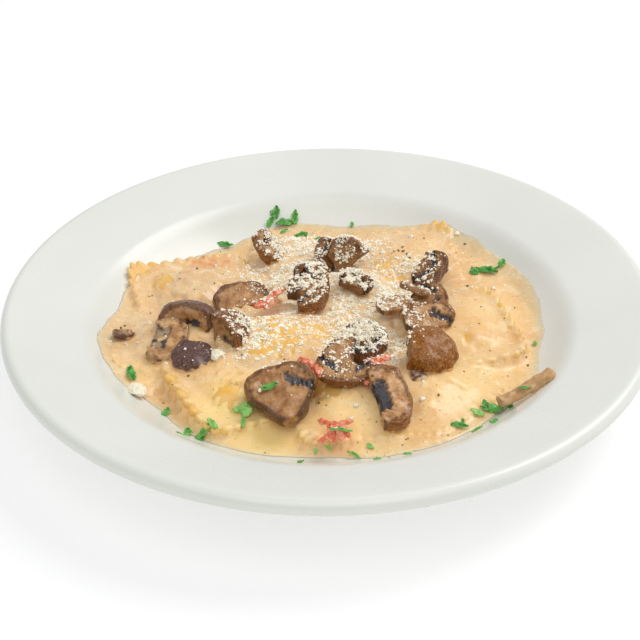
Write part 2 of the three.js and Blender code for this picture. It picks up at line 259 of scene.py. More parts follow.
def serve(thing, slot=None, *nodes):
    """Puts a finished piece on the plate's body, in place of its CAD nodes."""
    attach(thing, "root")
    if nodes:
        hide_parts(*nodes)
    return thing


# ---- Materials ------------------------------------------------------------------------------


def spaced(place, size, **more):
    """What a texture takes in when its parts are to be size millimetres apart."""
    return {"Vector": place, "Scale": 1 / (size * MM), **more}


def start_material(name, *layers):
    """A new material, the function that adds a node to it, the place on the piece in metres,
    and each layer that is marked on the piece's points."""
    material = bpy.data.materials.new(name)
    material.use_nodes = True
    material.node_tree.nodes.clear()
    add = partial(node, material.node_tree)
    place = add("ShaderNodeTexCoord").outputs["Object"]
    marked = {
        layer: add("ShaderNodeAttribute", attribute_name=layer).outputs["Fac"] for layer in layers
    }
    return material, add, place, marked


def finish_material(add, colour, rough, normal, over=(), **values):
    """Lays tints over the colour, each as thick as its cover says, and adds the shader."""
    for cover, tint in over:
        tint = linear(tint) if isinstance(tint, str) else tint
        colour = add(MIX, {"Factor": cover, "A": colour, "B": tint}, data_type="RGBA")
    given = {name.replace("_", " "): value for name, value in values.items()}
    given.update({"Base Color": colour, "Roughness": rough, "Normal": normal})
    add("ShaderNodeOutputMaterial", {"Surface": add("ShaderNodeBsdfPrincipled", given)})


def light_through(share, colour, depth):
    """How much light goes in and comes out again, in what colour, and from how deep."""
    return dict(Subsurface_Weight=share, Subsurface_Radius=colour, Subsurface_Scale=depth * MM)


def one_grain(name, size, detail, colours, roughness, relief, **values):
    """A material whose colour, roughness and relief all follow one grain."""
    material, add, place, _ = start_material(name)
    grain = add(NOISE, spaced(place, size, Detail=detail))
    colour = add(RAMP, {"Fac": grain}, colours)
    rough = add(RAMP, {"Fac": grain}, roughness)
    normal = add(BUMP, {"Height": grain, "Distance": relief * MM})
    finish_material(add, colour, rough, normal, **values)
    return material


def glazed_porcelain():
    """Clear glaze fired over white porcelain: a faintly warm grey white, glossy, with the
    slightest waviness and a pinhole here and there where the glaze drew back."""
    material, add, place, _ = start_material("glazed_porcelain")
    cloud = add(NOISE, spaced(place, 60, Detail=2.0))
    colour = add(RAMP, {"Fac": cloud}, [(0.3, "dddfd7"), (0.7, "e3e4dc")])
    pinholes = add(GRAINS, spaced(place, 16))
    hole = add(RAMP, {"Fac": pinholes}, [(0.012, 0.5), (0.02, 0)])
    patch = add(NOISE, spaced(place, 22))
    rough = add(RAMP, {"Fac": patch}, [(0.3, 0.24), (0.7, 0.32)])
    wave = add(NOISE, spaced(place, 18, Detail=0.0))
    normal = add(BUMP, {"Height": wave, "Distance": 0.03 * MM})
    finish_material(add, colour, rough, normal, [(hole, "c9c7bb")], IOR=1.5)
    return material


def bare_porcelain():
    """Unglazed fired clay of the foot ring: matt, finely gritty and a little greyer."""
    return one_grain(
        "bare_porcelain", size=0.8, detail=2.0, colours=[(0.3, "cdc9bd"), (0.7, "dcd8cc")],
        roughness=[(0.2, 0.7), (0.8, 0.85)], relief=0.08,
    )


def cream_sauce():
    """Cream cooked down with cheese and a little tomato: opaque, wet and slightly curdled,
    yellow where it lies thin on pasta, pale where it runs out thin, grey where mushroom juice
    has run into it and orange where tomato oil floats. A buttery yellow tint is partly painted
    light: it brightens slopes that lie in shade and evens out a spot the lamps light too much.
    The grey juice tint is partly painted shade."""
    material, add, place, marked = start_material(
        "cream_sauce", "thin", "shore", "juice", "stain", "butter", "melted"
    )
    cloud = add(NOISE, spaced(place, 24, Detail=3.0))
    swirl = add(NOISE, spaced(place, 7, Detail=4.0, Distortion=0.6))
    curd = add(NOISE, spaced(place, 1.5, Detail=3.0, Roughness=0.6))
    grains = add(GRAINS, spaced(place, 2.6))
    colour = add(RAMP, {"Fac": cloud}, [(0.3, "e4b67a"), (0.5, "ecc38c"), (0.7, "f1cf9e")])
    milky = add(RAMP, {"Fac": swirl}, [(0.54, 0), (0.72, 0.6)])
    oily = add(RAMP, {"Fac": swirl}, [(0.3, 0.45), (0.45, 0)])
    lumps = add(RAMP, {"Fac": curd}, [(0.55, 0), (0.72, 0.45)])
    pits = add(RAMP, {"Fac": curd}, [(0.3, 0.22), (0.42, 0)])
    specks = add(RAMP, {"Fac": grains}, [(0.09, 0.55), (0.15, 0)])
    yellow = add("ShaderNodeMapRange", {"Value": marked["thin"], "From Min": 0.3, "To Max": 0.9})
    over = [
        (milky, "f8e2bd"),
        (oily, "dda868"),
        (yellow, "ecb654"),
        (lumps, "fae8c6"),
        (pits, "d19c62"),
        # buttery yellow, partly painted light on slopes in shade
        (marked["butter"], "ffdb92"),
        (marked["melted"], "fff0cd"),
        (marked["stain"], "dc7d44"),
        # grey juice stain, partly painted shade
        (marked["juice"], "cdb899"),
        (marked["shore"], "ecdcc0"),
        (specks, "a87545"),
    ]
    rough = add(RAMP, {"Fac": swirl}, [(0.35, 0.14), (0.65, 0.32)])
    ripple = add(NOISE, spaced(place, 8, Detail=1.0))
    coarse = add(BUMP, {"Height": ripple, "Distance": 0.25 * MM})
    normal = add(BUMP, {"Height": curd, "Distance": 0.07 * MM, "Normal": coarse})
    soft = light_through(0.4, (1.0, 0.7, 0.4), 3)
    finish_material(add, colour, rough, normal, over, IOR=1.42, **soft)
    return material


def boiled_pasta():
    """Egg pasta, rolled and boiled: a warm yellow, damp, with a fine floury texture, and creamy
    where sauce clings to it."""
    material, add, place, marked = start_material("boiled_egg_pasta", "coat")
    cloud = add(NOISE, spaced(place, 9, Detail=3.0))
    grain = add(NOISE, spaced(place, 1.1, Detail=3.0))
    colour = add(RAMP, {"Fac": cloud}, [(0.3, "e6a83e"), (0.7, "f1c566")])
    flour = add(RAMP, {"Fac": grain}, [(0.5, 0), (0.75, 0.5)])
    over = [(flour, "f4dca0"), (marked["coat"], "edc078")]
    rough = add(RAMP, {"Fac": cloud}, [(0.3, 0.26), (0.7, 0.42)])
    normal = add(BUMP, {"Height": grain, "Distance": 0.12 * MM})
    soft = light_through(0.15, (1.0, 0.6, 0.2), 2)
    finish_material(add, colour, rough, normal, over, IOR=1.42, **soft)
    return material


GILLS_ROUND_A_CAP = 120


def roasted_mushroom():
    """Brown mushroom, cut and browned in a pan: leathery skin streaked down from the crown, tan
    flesh that darkens towards its edges, near-black gills, and cream where it dips in."""
    material, add, place, marked = start_material(
        "roasted_mushroom", "tone", "plum", "skin", "gill", "cream", "edge"
    )
    grown = add("ShaderNodeAttribute", attribute_name="grown").outputs["Vector"]
    along = add("ShaderNodeMapping", {"Vector": grown, "Scale": (1, 1, 0.3)})
    crownward = add("ShaderNodeAttribute", attribute_name="streaks").outputs["Vector"]
    cloud = add(NOISE, spaced(place, 4.5, Detail=4.0, Roughness=0.6))
    fibre = add(NOISE, spaced(along, 0.9, Detail=4.0, Roughness=0.65))
    streak = add(NOISE, spaced(crownward, 0.8, Detail=4.0, Roughness=0.65))
    round_axis = add("ShaderNodeTexGradient", {"Vector": grown}, gradient_type="RADIAL")
    teeth = {0: round_axis.outputs["Fac"], 1: 2 * math.pi * GILLS_ROUND_A_CAP}
    comb = add(MATH, teeth, operation="MULTIPLY")
    comb = add(MATH, {0: comb}, operation="SINE")
    comb = add(MATH, {0: comb, 1: 0.2, 2: fibre}, operation="MULTIPLY_ADD")
    tan = add(RAMP, {"Fac": cloud}, [(0.3, "9c6533"), (0.7, "dcae7a")])
    umber = add(RAMP, {"Fac": cloud}, [(0.3, "5a3514"), (0.7, "a06d3b")])
    brown = add(RAMP, {"Fac": streak}, [(0.3, "4f2a0b"), (0.5, "8d541e"), (0.7, "c08a40")])
    plum = add(RAMP, {"Fac": streak}, [(0.3, "382220"), (0.5, "5f413a"), (0.7, "8e7064")])
    gill = add(RAMP, {"Fac": comb}, [(0.35, "1c1a1c"), (0.7, "5c585b")])
    seared = add(RAMP, {"Fac": fibre}, [(0.5, 0), (0.72, 0.5)])
    dipped = add(RAMP, {"Fac": cloud}, [(0.3, "d2a873"), (0.7, "e6c391")])
    skin = add(MIX, {"Factor": marked["plum"], "A": brown, "B": plum}, data_type="RGBA")
    over = [
        (marked["tone"], umber),
        (seared, "6b4526"),
        (marked["edge"], "482a12"),
        (marked["skin"], skin),
        (marked["gill"], gill),
        (marked["cream"], dipped),
    ]
    rough = add(RAMP, {"Fac": cloud}, [(0.3, 0.18), (0.7, 0.36)])
    coarse = add(BUMP, {"Height": cloud, "Distance": 0.25 * MM})
    normal = add(BUMP, {"Height": fibre, "Distance": 0.12 * MM, "Normal": coarse})
    soft = light_through(0.06, (1.0, 0.5, 0.3), 1.5)
    finish_material(add, tan, rough, normal, over, IOR=1.4, **soft)
    return material


def cooked_tomato():
    """Tomato softened in the sauce: wet orange red to salmon flesh, paler where cream clings."""
    material, add, place, _ = start_material("cooked_tomato")
    cloud = add(NOISE, spaced(place, 3, Detail=4.0, Roughness=0.6))
    cling = add(NOISE, spaced(place, 1.6))
    colour = add(RAMP, {"Fac": cloud}, [(0.33, "d35330"), (0.5, "e5805c"), (0.68, "f2b092")])
    creamy = add(RAMP, {"Fac": cling}, [(0.58, 0), (0.72, 0.75)])
    rough = add(RAMP, {"Fac": cloud}, [(0.3, 0.16), (0.7, 0.32)])
    normal = add(BUMP, {"Height": cloud, "Distance": 0.15 * MM})
    soft = light_through(0.2, (1.0, 0.35, 0.2), 1.5)
    finish_material(add, colour, rough, normal, [(creamy, "f6c9a8")], IOR=1.4, **soft)
    return material


def hard_cheese(name, light, dark, grain_size):
    """Aged hard cheese, broken or grated: ivory, dry and crystalline on its broken faces."""
    return one_grain(
        name, size=grain_size, detail=3.0, colours=[(0.3, dark), (0.7, light)],
        roughness=[(0.3, 0.5), (0.7, 0.65)], relief=0.08,
        **light_through(0.12, (1.0, 0.9, 0.7), 0.6),
    )


def fresh_parsley():
    """Chopped flat parsley: bright green, waxy, lighter along its edges and where young."""
    material, add, place, marked = start_material("fresh_parsley", "young", "margin")
    cloud = add(NOISE, spaced(place, 2.2, Detail=3.0))
    colour = add(RAMP, {"Fac": cloud}, [(0.3, "185f16"), (0.5, "338427"), (0.7, "62ac43")])
    over = [(marked["young"], "a4da78"), (marked["margin"], "74bf52")]
    rough = add(RAMP, {"Fac": cloud}, [(0.3, 0.3), (0.7, 0.48)])
    normal = add(BUMP, {"Height": cloud, "Distance": 0.25 * MM})
    finish_material(add, colour, rough, normal, over, **light_through(0.15, (0.3, 1.0, 0.2), 1))
    return material


def cracked_pepper():
    """Cracked black pepper: dark brown skins with a few pale broken faces."""
    return one_grain(
        "cracked_pepper", size=0.9, detail=2.0, colours=[(0.35, "31241b"), (0.7, "85633f")],
        roughness=[(0.3, 0.5), (0.7, 0.7)], relief=0.1,
    )


PAPER_GLOW = 0.5


def studio_paper():
    """Matt white background paper on a lit table, which fills its shadows with light."""
    return one_grain(
        "studio_paper", size=3, detail=2.0, colours=[(0.3, "bebebe"), (0.7, "c0c0c0")],
        roughness=[(0.3, 0.85), (0.7, 0.95)], relief=0.02, Specular_IOR_Level=0.2,
        Emission_Color=(1, 1, 1, 1), Emission_Strength=PAPER_GLOW,
    )


# ---- Plate ----------------------------------------------------------------------------------


def bowl_height(radius):
    """Height of the plate's upper surface at a distance from its axis."""
    climb = np.clip((radius - FLOOR_RADIUS) / (WELL_RADIUS - FLOOR_RADIUS), 0, None)
    wall = FLOOR_HEIGHT + (WELL_EDGE_HEIGHT - FLOOR_HEIGHT) * climb**WALL_CURVE
    rim = WELL_EDGE_HEIGHT + RIM_SLOPE * (radius - WELL_RADIUS)
    return np.where(radius < FLOOR_RADIUS, FLOOR_HEIGHT, smooth_min(wall, rim, WELL_EDGE_SOFTNESS))


PLATE_STEPS = 256
FOOT_TOUCH = 0.4  # below this height the foot ring is bare clay


def plate_outline():
    """Distance and height from the middle of the underside out to the edge and back over."""
    inner = FOOT_RADIUS - FOOT_WIDTH
    outline = [(0, FOOT_RECESS), (inner - 8, FOOT_RECESS), (inner - 3, FOOT_RECESS - 0.4)]
    outline += [(inner - 1, 1.2), (inner, 0.3), (inner + 0.8, 0), (FOOT_RADIUS - 1.2, 0)]
    outline += [(FOOT_RADIUS - 0.4, 0.3), (FOOT_RADIUS, 1)]
    outline += [(r, bowl_height(r + 2.5) - SHELL_THICKNESS) for r in np.linspace(80, 141, 24)]
    edge = compass(np.radians(np.linspace(-75, 105, 19))) * RIM_EDGE_RADIUS
    outline += (edge + (PLATE_RADIUS - RIM_EDGE_RADIUS, RIM_EDGE_HEIGHT)).tolist()
    outline += [(r, bowl_height(r)) for r in (*np.linspace(140, 78, 63), 60, 40, 20, 0)]
    return np.array(outline, float)


def make_plate():
    outline = plate_outline()
    height = np.broadcast_to(outline[:, None, 1:], (len(outline), PLATE_STEPS, 1))
    rings = np.concatenate([outline[:, None, :1] * compass(full_turn(PLATE_STEPS)), height], -1)
    points, faces = wrap(rings)
    plate = make_mesh("plate_glazed", points, faces, glazed_porcelain())
    plate.data.materials.append(bare_porcelain())
    for face in plate.data.polygons:
        middle = face.center / MM
        if middle.z < FOOT_TOUCH and middle.xy.length > FOOT_RADIUS - FOOT_WIDTH - 1:
            face.material_index = 1
    return serve(plate, "glaze", "plate")


# ---- Ravioli --------------------------------------------------------------------------------

# Middle, length of a side, turn in degrees, height of the belly, rise along X and Y, and how
# far the edge has curled up.
Raviolo = namedtuple("Raviolo", "x y side turn seat rise_x rise_y curl")
RAVIOLI = [
    Raviolo(-63, 29, 62, 17, 11.2, -0.09, 0.14, 0.8),
    Raviolo(-71, -8, 54, -8, 11.2, -0.03, 0, 0),
    Raviolo(-38.5, -42, 62, 28, 11.2, -0.09, -0.02, 0.8),
    Raviolo(11, -55, 56, 5, 11.2, 0, 0.08, 0),
    Raviolo(43, -48, 54, 41, 11.2, 0.02, 0.05, 0),
    Raviolo(56.5, -4, 62, 13, 11.2, 0.06, 0.03, 2.0),
    Raviolo(36, 58, 62, 4, 11.2, 0.03, 0.04, 0),
    Raviolo(-12, 63, 57, -8, 11.2, 0, 0.03, 0),
    Raviolo(8, 24, 62, 21, 14, 0, 0, 0),
    Raviolo(-21, -21, 62, 2, 19, 0.02, 0.02, 0),
]
RAVIOLO_STEPS = 4 * 9 * LOBES_PER_SIDE
EDGE_SHARE = 0.05  # share of the half side over which the border's edge is rounded
LOBES_FROM = 0.72  # share of the half side from which the wheel's cut begins to show
WALL_GAP = 0.6  # between the pasta and the plate's wall
BELLY_GAP = 0.4  # between the pasta and the well's floor


def lobe_notch(along):
    """How far the pastry wheel's cut draws in, at a place along the side."""
    depth = LOBE_DEPTH * (1 - 0.7 * along**6)
    return depth * (1 - np.abs(np.sin(np.pi * along / LOBE_PITCH)) ** 0.55)


def border_height(piece, x, y):
    """Height of the underside of the pressed border, draped up the plate's wall."""
    flat = piece.rise_x * (x - piece.x) + piece.rise_y * (y - piece.y)
    wall = bowl_height(np.hypot(x, y)) + WALL_GAP - piece.seat
    return piece.seat + smooth_max(flat + BORDER_LIFT, wall, 2)


def share_and_along(piece, x, y):
    """Share of the way out to the wavy edge, and the place along the nearest side."""
    turn = math.radians(piece.turn)
    px = math.cos(turn) * (x - piece.x) + math.sin(turn) * (y - piece.y)
    py = math.cos(turn) * (y - piece.y) - math.sin(turn) * (x - piece.x)
    px, py, half = np.abs(px), np.abs(py), piece.side / 2
    reach = (px**CORNER_SHARPNESS + py**CORNER_SHARPNESS) ** (1 / CORNER_SHARPNESS)
    along = np.minimum(px, py) / np.maximum(np.maximum(px, py), 1e-6)
    return (reach + lobe_notch(along) * ease(LOBES_FROM, 1, reach / half)) / half, along


def raviolo_top(piece, x, y, share, along):
    """Height of the upper surface: border, crease and filled pillow."""
    spot = np.stack([x, y], -1)
    under = border_height(piece, x, y)
    edge = np.clip((share - 1 + EDGE_SHARE) / EDGE_SHARE, 0, 1)
    drop = BORDER_THICKNESS / 2 * (1 - np.sqrt(np.maximum(1 - edge**2, 0)))
    crimp = ease(0.78, 0.98, share) * (np.abs(np.sin(np.pi * along / LOBE_PITCH)) - 0.6)
    curl = piece.curl * ease(0.8, 0.97, share)
    border = under + BORDER_THICKNESS - drop + crimp + curl + 0.12 * waves(spot, 9, 11)
    dome = np.sqrt(np.maximum(1 - (share / PILLOW_SHARE) ** 2.4, 0))
    lumps = dome * (0.45 * waves(spot, 14, 12) + 0.1 * waves(spot, 6, 13))
    pillow = under + BORDER_THICKNESS - 1.2 + (PILLOW_RISE + 1.2) * dome + lumps
    return smooth_max(border, pillow, 1.4)


def make_raviolo(index, piece, material):
    """One raviolo, closed, from its belly out to the wavy edge and back over the pillow."""
    turn = np.linspace(-1, 1, RAVIOLO_STEPS // 4, endpoint=False)
    corner = (1 + np.abs(turn) ** CORNER_SHARPNESS) ** (-1 / CORNER_SHARPNESS)
    ring = [(corner, turn * corner)]
    for _ in range(3):
        ring.append((-ring[-1][1], ring[-1][0]))
    ring = np.concatenate([np.stack(side, -1) for side in ring])
    ring = ring @ turning(piece.turn)[:2, :2]
    along = np.tile(np.abs(turn), 4)
    half = piece.side / 2
    notch = lobe_notch(along)

    def at(share):
        """The ring of points at a share of the way out."""
        reach = half * share - notch * ease(LOBES_FROM, 1, share)
        return ring * reach[:, None] + (piece.x, piece.y)

    rings = []
    for share in (0, 0.3, 0.6, 0.8, 0.92, 1 - EDGE_SHARE):
        spot = at(share)
        under = border_height(piece, *spot.T) - BORDER_LIFT * (1 - share)
        rings.append(np.column_stack([spot, np.maximum(under, FLOOR_HEIGHT + BELLY_GAP)]))
    for lean in np.radians(np.linspace(-60, 0, 4)):
        spot = at(1 - EDGE_SHARE * (1 - math.cos(lean)))
        middle = border_height(piece, *spot.T) + BORDER_THICKNESS / 2
        rings.append(np.column_stack([spot, middle + BORDER_THICKNESS / 2 * math.sin(lean)]))
    rounded = 1 - EDGE_SHARE * np.array([0.02, 0.1, 0.25, 0.5, 1])
    for share in (*rounded, *np.linspace(0.925, 0.02, 42), 0.0):
        spot = at(share)
        top = raviolo_top(piece, *spot.T, np.full(len(spot), share), along)
        rings.append(np.column_stack([spot, top]))
    points, faces = wrap(np.array(rings))
    name = f"raviolo_{index + 1:02d}"
    raviolo = make_mesh(f"{name}_pasta", points, faces, material)
    share, _ = share_and_along(piece, *points[:, :2].T)
    coat = 0.3 + 0.4 * waves(points, 7, 14) + 0.35 * ease(0.7, 0.9, share)
    mark(raviolo, coat=np.clip(coat, 0, 0.9))
    return serve(raviolo, "pasta", name)


# ---- Sauce ----------------------------------------------------------------------------------

# How far the sauce spreads: direction in degrees and distance from the plate's axis.
SAUCE_SPREAD = [
    (0, 101.5), (20, 105), (40, 105), (54, 108), (66, 103), (84, 99), (100, 101.5), (122, 96.5),
    (138, 99.5), (156, 106), (168, 102), (188, 108), (203, 103), (214, 92), (230, 96.5),
    (245, 94), (258, 89), (270, 86.5), (282, 92), (300, 97.5), (318, 97.5), (333, 103),
    (348, 98), (360, 101.5),
]

# Places where the sauce has run off and the pasta shows: middle, radius, how bare.
BARE_SPOTS = [
    (-72, -44, 6, 1.0), (-67, -54, 6, 1.0), (-62, -65, 6, 1.0), (-45, -57, 9, 0.9),
    (-40, -45, 9, 0.5), (-30, -14, 10, 0.8), (-21, -25, 13, 1.0), (-6, -18, 9, 0.9),
    (-30, -31, 9, 0.9), (-96, 46, 6, 0.8), (-80, 36, 7, 0.8), (-42, 63, 7, 0.7),
    (62, 88, 8, 0.9), (68, 78, 5, 0.7), (80, 24, 4, 0.8), (83, 12, 4, 0.7), (87, -6, 4, 0.7),
    (27, 50, 6, 0.9), (34, 38, 6, 0.9), (64, -16.5, 4, 1.0), (0, -54, 10, 0.8),
    (12, -50, 8, 0.5), (58, -62, 7, 0.3),
]

# Places where the sauce lies thick and hides the shapes beneath it: middle, radius, amount.
POOLED_SPOTS = [
    (54, -2, 21, 1.0), (46, -52, 27, 1.0), (11, -70, 24, 1.0), (38, 62, 25, 0.8),
    (-12, 74, 20, 0.8), (-78, -10, 30, 0.9), (-62, -28, 14, 0.8),
    (78, 46, 18, 0.8), (-32, -76, 18, 0.9), (40, -80, 14, 1.0), (12, -80, 14, 1.0),
]
# Low swells where sauce has set over a fold of pasta: middle, radius, height.
SWELLS = [
    (-62, 32, 14, 2.6), (-93, 3, 11, 1.8), (-80, -32, 12, 1.2), (72, -24, 13, 1.0),
    (-66, 12, 12, 1.2), (20, 76, 14, 1.0), (70, 56, 14, 0.9),
]
# Places where dark juice from the mushrooms has stained the sauce, and where the same grey
# tint is painted shade on slopes in shade and on a spot the lamps light too much: middle,
# radius, amount.
JUICE_AND_PAINTED_SHADE_SPOTS = [
    (-92, -8, 16, 0.5), (-80, -20, 13, 0.5), (-48, 8, 18, 0.4), (-58, 26, 26, 0.4),
    (-30, 40, 20, 0.3), (45, -40, 10, 0.45), (58, 28, 12, 0.35), (20, 5, 16, 0.3),
    (-46, -82, 10, 0.2), (30, 20, 16, 0.3), (60, 66, 8, 0.15), (-8, -94, 12, 0.15),
    (0, 88, 26, 0.3), (30, 84, 20, 0.25), (62, -45, 24, 0.2),
]
# Places where oil from the tomatoes floats in the sauce: middle, radius, amount.
STAIN_SPOTS = [
    (-64, 56, 5, 0.5), (-58, 55, 6, 0.65), (-51, 57, 4, 0.5), (-27, 3, 7, 0.35),
    (2, -82, 9, 0.3), (20, -50, 8, 0.35), (-8, -50, 7, 0.3), (-69, 34, 5, 0.2),
]
# Places where a buttery yellow tint lies on the sauce. It is partly painted light that brightens
# slopes in shade and evens out a spot the lamps light too much: middle, radius, amount.
BUTTER_AND_PAINTED_LIGHT_SPOTS = [
    (-30, -76, 20, 1.0), (10, -76, 22, 0.6), (-46, -64, 17, 1.0), (-84, -34, 12, 0.4),
    (62, -45, 24, 0.6), (78, 10, 18, 0.3),
]

EDGE_RISE = 0.34  # how steeply the pool climbs from its outline
LEAST_DEPTH = 0.9  # of the pool, away from its outline
POOLED_SOFTNESS = 5.0  # how far a thick place evens out the shapes beneath it
POOLED_DEPTH = 0.7  # and how deep it lies over them
THIN = 0.45  # sauce thinner than this shows the pasta's yellow
SHORE_DEPTH = 0.9  # sauce shallower than this is paler

CELL = 0.5
HALF_SPAN = 126.0
AXIS = np.arange(-HALF_SPAN, HALF_SPAN + CELL / 2, CELL)
GRID_X, GRID_Y = np.meshgrid(AXIS, AXIS, indexing="ij")
GRID = np.stack([GRID_X, GRID_Y], -1)
NOTHING = -50.0


def sauce_reach(angle):
    """Distance from the axis to the sauce's outline in a direction."""
    degrees, reach = np.array(SAUCE_SPREAD, float).T
    fine = np.arange(0, 360, 0.5)
    known = np.interp(fine, degrees, reach)
    offsets = np.arange(-14, 15)
    weight = np.exp(-((offsets / 6.0) ** 2))
    smooth = sum(w * np.roll(known, -o) for o, w in zip(offsets, weight)) / weight.sum()
    turn = np.degrees(angle) % 360
    drawn = np.interp(turn, np.append(fine, 360), np.append(smooth, smooth[0]))
    ring = compass(angle) * 100
    return drawn + 0.45 * waves(ring, 20, 21) + 0.12 * waves(ring, 5, 22)


def blur(grid, radius):
    """A grid averaged over a round soft patch of the given radius in millimetres."""
    reach = int(3 * radius / CELL)
    offsets = np.arange(-reach, reach + 1)
    weight = np.exp(-0.5 * (offsets * CELL / radius) ** 2)
    weight /= weight.sum()
    for axis in (0, 1):
        grid = sum(w * np.roll(grid, o, axis) for o, w in zip(offsets, weight))
    return grid


def sample(grid, x, y):
    """A grid's value at any place, drawn between its four nearest cells."""
    u = np.clip((np.asarray(x) + HALF_SPAN) / CELL, 0, len(AXIS) - 1.001)
    v = np.clip((np.asarray(y) + HALF_SPAN) / CELL, 0, len(AXIS) - 1.001)
    i, j = u.astype(int), v.astype(int)
    a, b = u - i, v - j
    near = grid[i, j] * (1 - a) + grid[i + 1, j] * a
    far = grid[i, j + 1] * (1 - a) + grid[i + 1, j + 1] * a
    return near * (1 - b) + far * b


def pasta_heights():
    """Height of the ravioli's tops over the whole well, and NOTHING between them."""
    tops = np.full(GRID_X.shape, NOTHING)
    for piece in RAVIOLI:
        near = np.hypot(GRID_X - piece.x, GRID_Y - piece.y) < piece.side * 0.75
        x, y = GRID_X[near], GRID_Y[near]
        share, along = share_and_along(piece, x, y)
        top = raviolo_top(piece, x, y, np.minimum(share, 1), along)
        tops[near] = smooth_max(tops[near], np.where(share < 1, top, NOTHING), 0.6)
    return tops


def gathered(x, y, spots, sharpness=2.0):
    """The largest amount that any of the round soft spots gives each place."""
    amount = np.zeros(np.shape(x))
    for middle_x, middle_y, radius, full in spots:
        away = np.hypot(x - middle_x, y - middle_y) / radius
        amount = np.maximum(amount, full * np.exp(-(away**sharpness)))
    return amount


def bareness():
    """0 where sauce coats the pasta and 1 where it has run off."""
    bare = gathered(GRID_X, GRID_Y, BARE_SPOTS, 2.2)
    return np.clip(bare + 0.16 * waves(GRID, 6, 31) * (bare > 0.1), 0, 1)


def sauce_heights(pasta, bare):
    """Height of the sauce's surface: a pool that follows the pasta's shape."""
    radius = np.hypot(GRID_X, GRID_Y)
    depth = np.maximum(sauce_reach(np.arctan2(GRID_Y, GRID_X)) - radius, 0)
    plate = bowl_height(radius)
    level = SAUCE_LEVEL + 0.35 * waves(GRID, 18, 41)
    pool = plate + smooth_min(np.maximum(level - plate, LEAST_DEPTH), EDGE_RISE * depth, 0.8)
    film = FILM * (1 + 0.3 * waves(GRID, 9, 42)) - (FILM + 0.25) * ease(0.35, 0.8, bare)
    covered = np.maximum(pasta + film, pool)
    softened = smooth_max(covered, blur(covered, 1.6) + 0.05, 0.5) - 0.12
    top = softened + (covered - softened) * ease(0.3, 0.7, bare)
    pooled = gathered(GRID_X, GRID_Y, POOLED_SPOTS) * (1 - ease(0.3, 0.6, bare))
    top = top + (blur(covered, POOLED_SOFTNESS) + POOLED_DEPTH - top) * pooled
    for x, y, reach, rise in SWELLS:
        away = np.hypot(GRID_X - x, GRID_Y - y) / reach + 0.12 * waves(GRID, 14, 45)
        top = top + rise * np.sqrt(np.clip(1 - away**2, 0, 1)) * (1 - 0.6 * bare)
    top = np.minimum(top, plate + 0.06 + 1.1 * depth**0.95)
    coat = np.minimum(pasta + film, plate + 0.06 + 1.8 * depth)
    return np.maximum(top, coat)


SAUCE_STEPS = 720
SAUCE_RINGS = 118


def make_sauce(heights, pasta):
    turn = full_turn(SAUCE_STEPS)
    ring = compass(turn) * sauce_reach(turn)[:, None]
    rings = []
    for share in (0, 0.4, 0.75, 0.85, 0.93, 0.985, 1):
        spot = ring * share
        gap = 0.03 if share == 1 else 0.02
        rings.append(np.column_stack([spot, bowl_height(np.hypot(*spot.T)) + gap]))
    for share in 1 - np.linspace(0, 1, SAUCE_RINGS)[1:] ** 1.12:
        spot = ring * share
        rings.append(np.column_stack([spot, sample(heights, *spot.T)]))
    points, faces = wrap(np.array(rings))
    sauce = make_mesh("sauce_pool", points, faces, cream_sauce())
    x, y, z = points.T
    depth = z - bowl_height(np.hypot(x, y))
    over = sample(np.where(pasta > 0, heights - pasta, 9), x, y)
    # juice stains, partly painted shade on slopes in shade
    juice = gathered(x, y, JUICE_AND_PAINTED_SHADE_SPOTS) * (0.75 + 0.45 * waves(points[:, :2], 7, 43))
    stain = gathered(x, y, STAIN_SPOTS) * (0.8 + 0.5 * waves(points[:, :2], 4, 44))
    melted = gathered(x, y, CHEESE_FALLS) * (0.45 + 0.5 * waves(points[:, :2], 5, 51))
    mark(
        sauce, thin=np.exp(-np.maximum(over, 0) / THIN),
        shore=0.75 * np.exp(-np.maximum(depth, 0) / SHORE_DEPTH), juice=np.clip(juice, 0, 0.7),
        # buttery yellow tint, partly painted light on slopes in shade
        stain=np.clip(stain, 0, 0.8), butter=gathered(x, y, BUTTER_AND_PAINTED_LIGHT_SPOTS),
        melted=np.clip(melted, 0, 0.45),
    )
    return serve(sauce, "sauce", "sauce")


# ---- Mushrooms ------------------------------------------------------------------------------

# Half a mushroom of cap radius 1, from the stem's end up to the rim, as distance and height:
# with its gills open, and with flesh all the way to the rim.
UNDERSIDES = {
    "open": [
        (0, -0.95), (0.3, -0.95), (0.38, -0.91), (0.41, -0.82), (0.4, -0.5), (0.37, -0.2),
        (0.4, 0.05), (0.46, 0.17), (0.52, 0.18), (0.62, 0.12), (0.74, 0.03), (0.84, -0.05),
        (0.91, -0.06),
    ],
    "closed": [
        (0, -0.95), (0.3, -0.95), (0.38, -0.91), (0.42, -0.84), (0.47, -0.76), (0.52, -0.68),
        (0.58, -0.59), (0.64, -0.5), (0.7, -0.41), (0.76, -0.32), (0.82, -0.23), (0.88, -0.14),
        (0.93, -0.07),
    ],
}
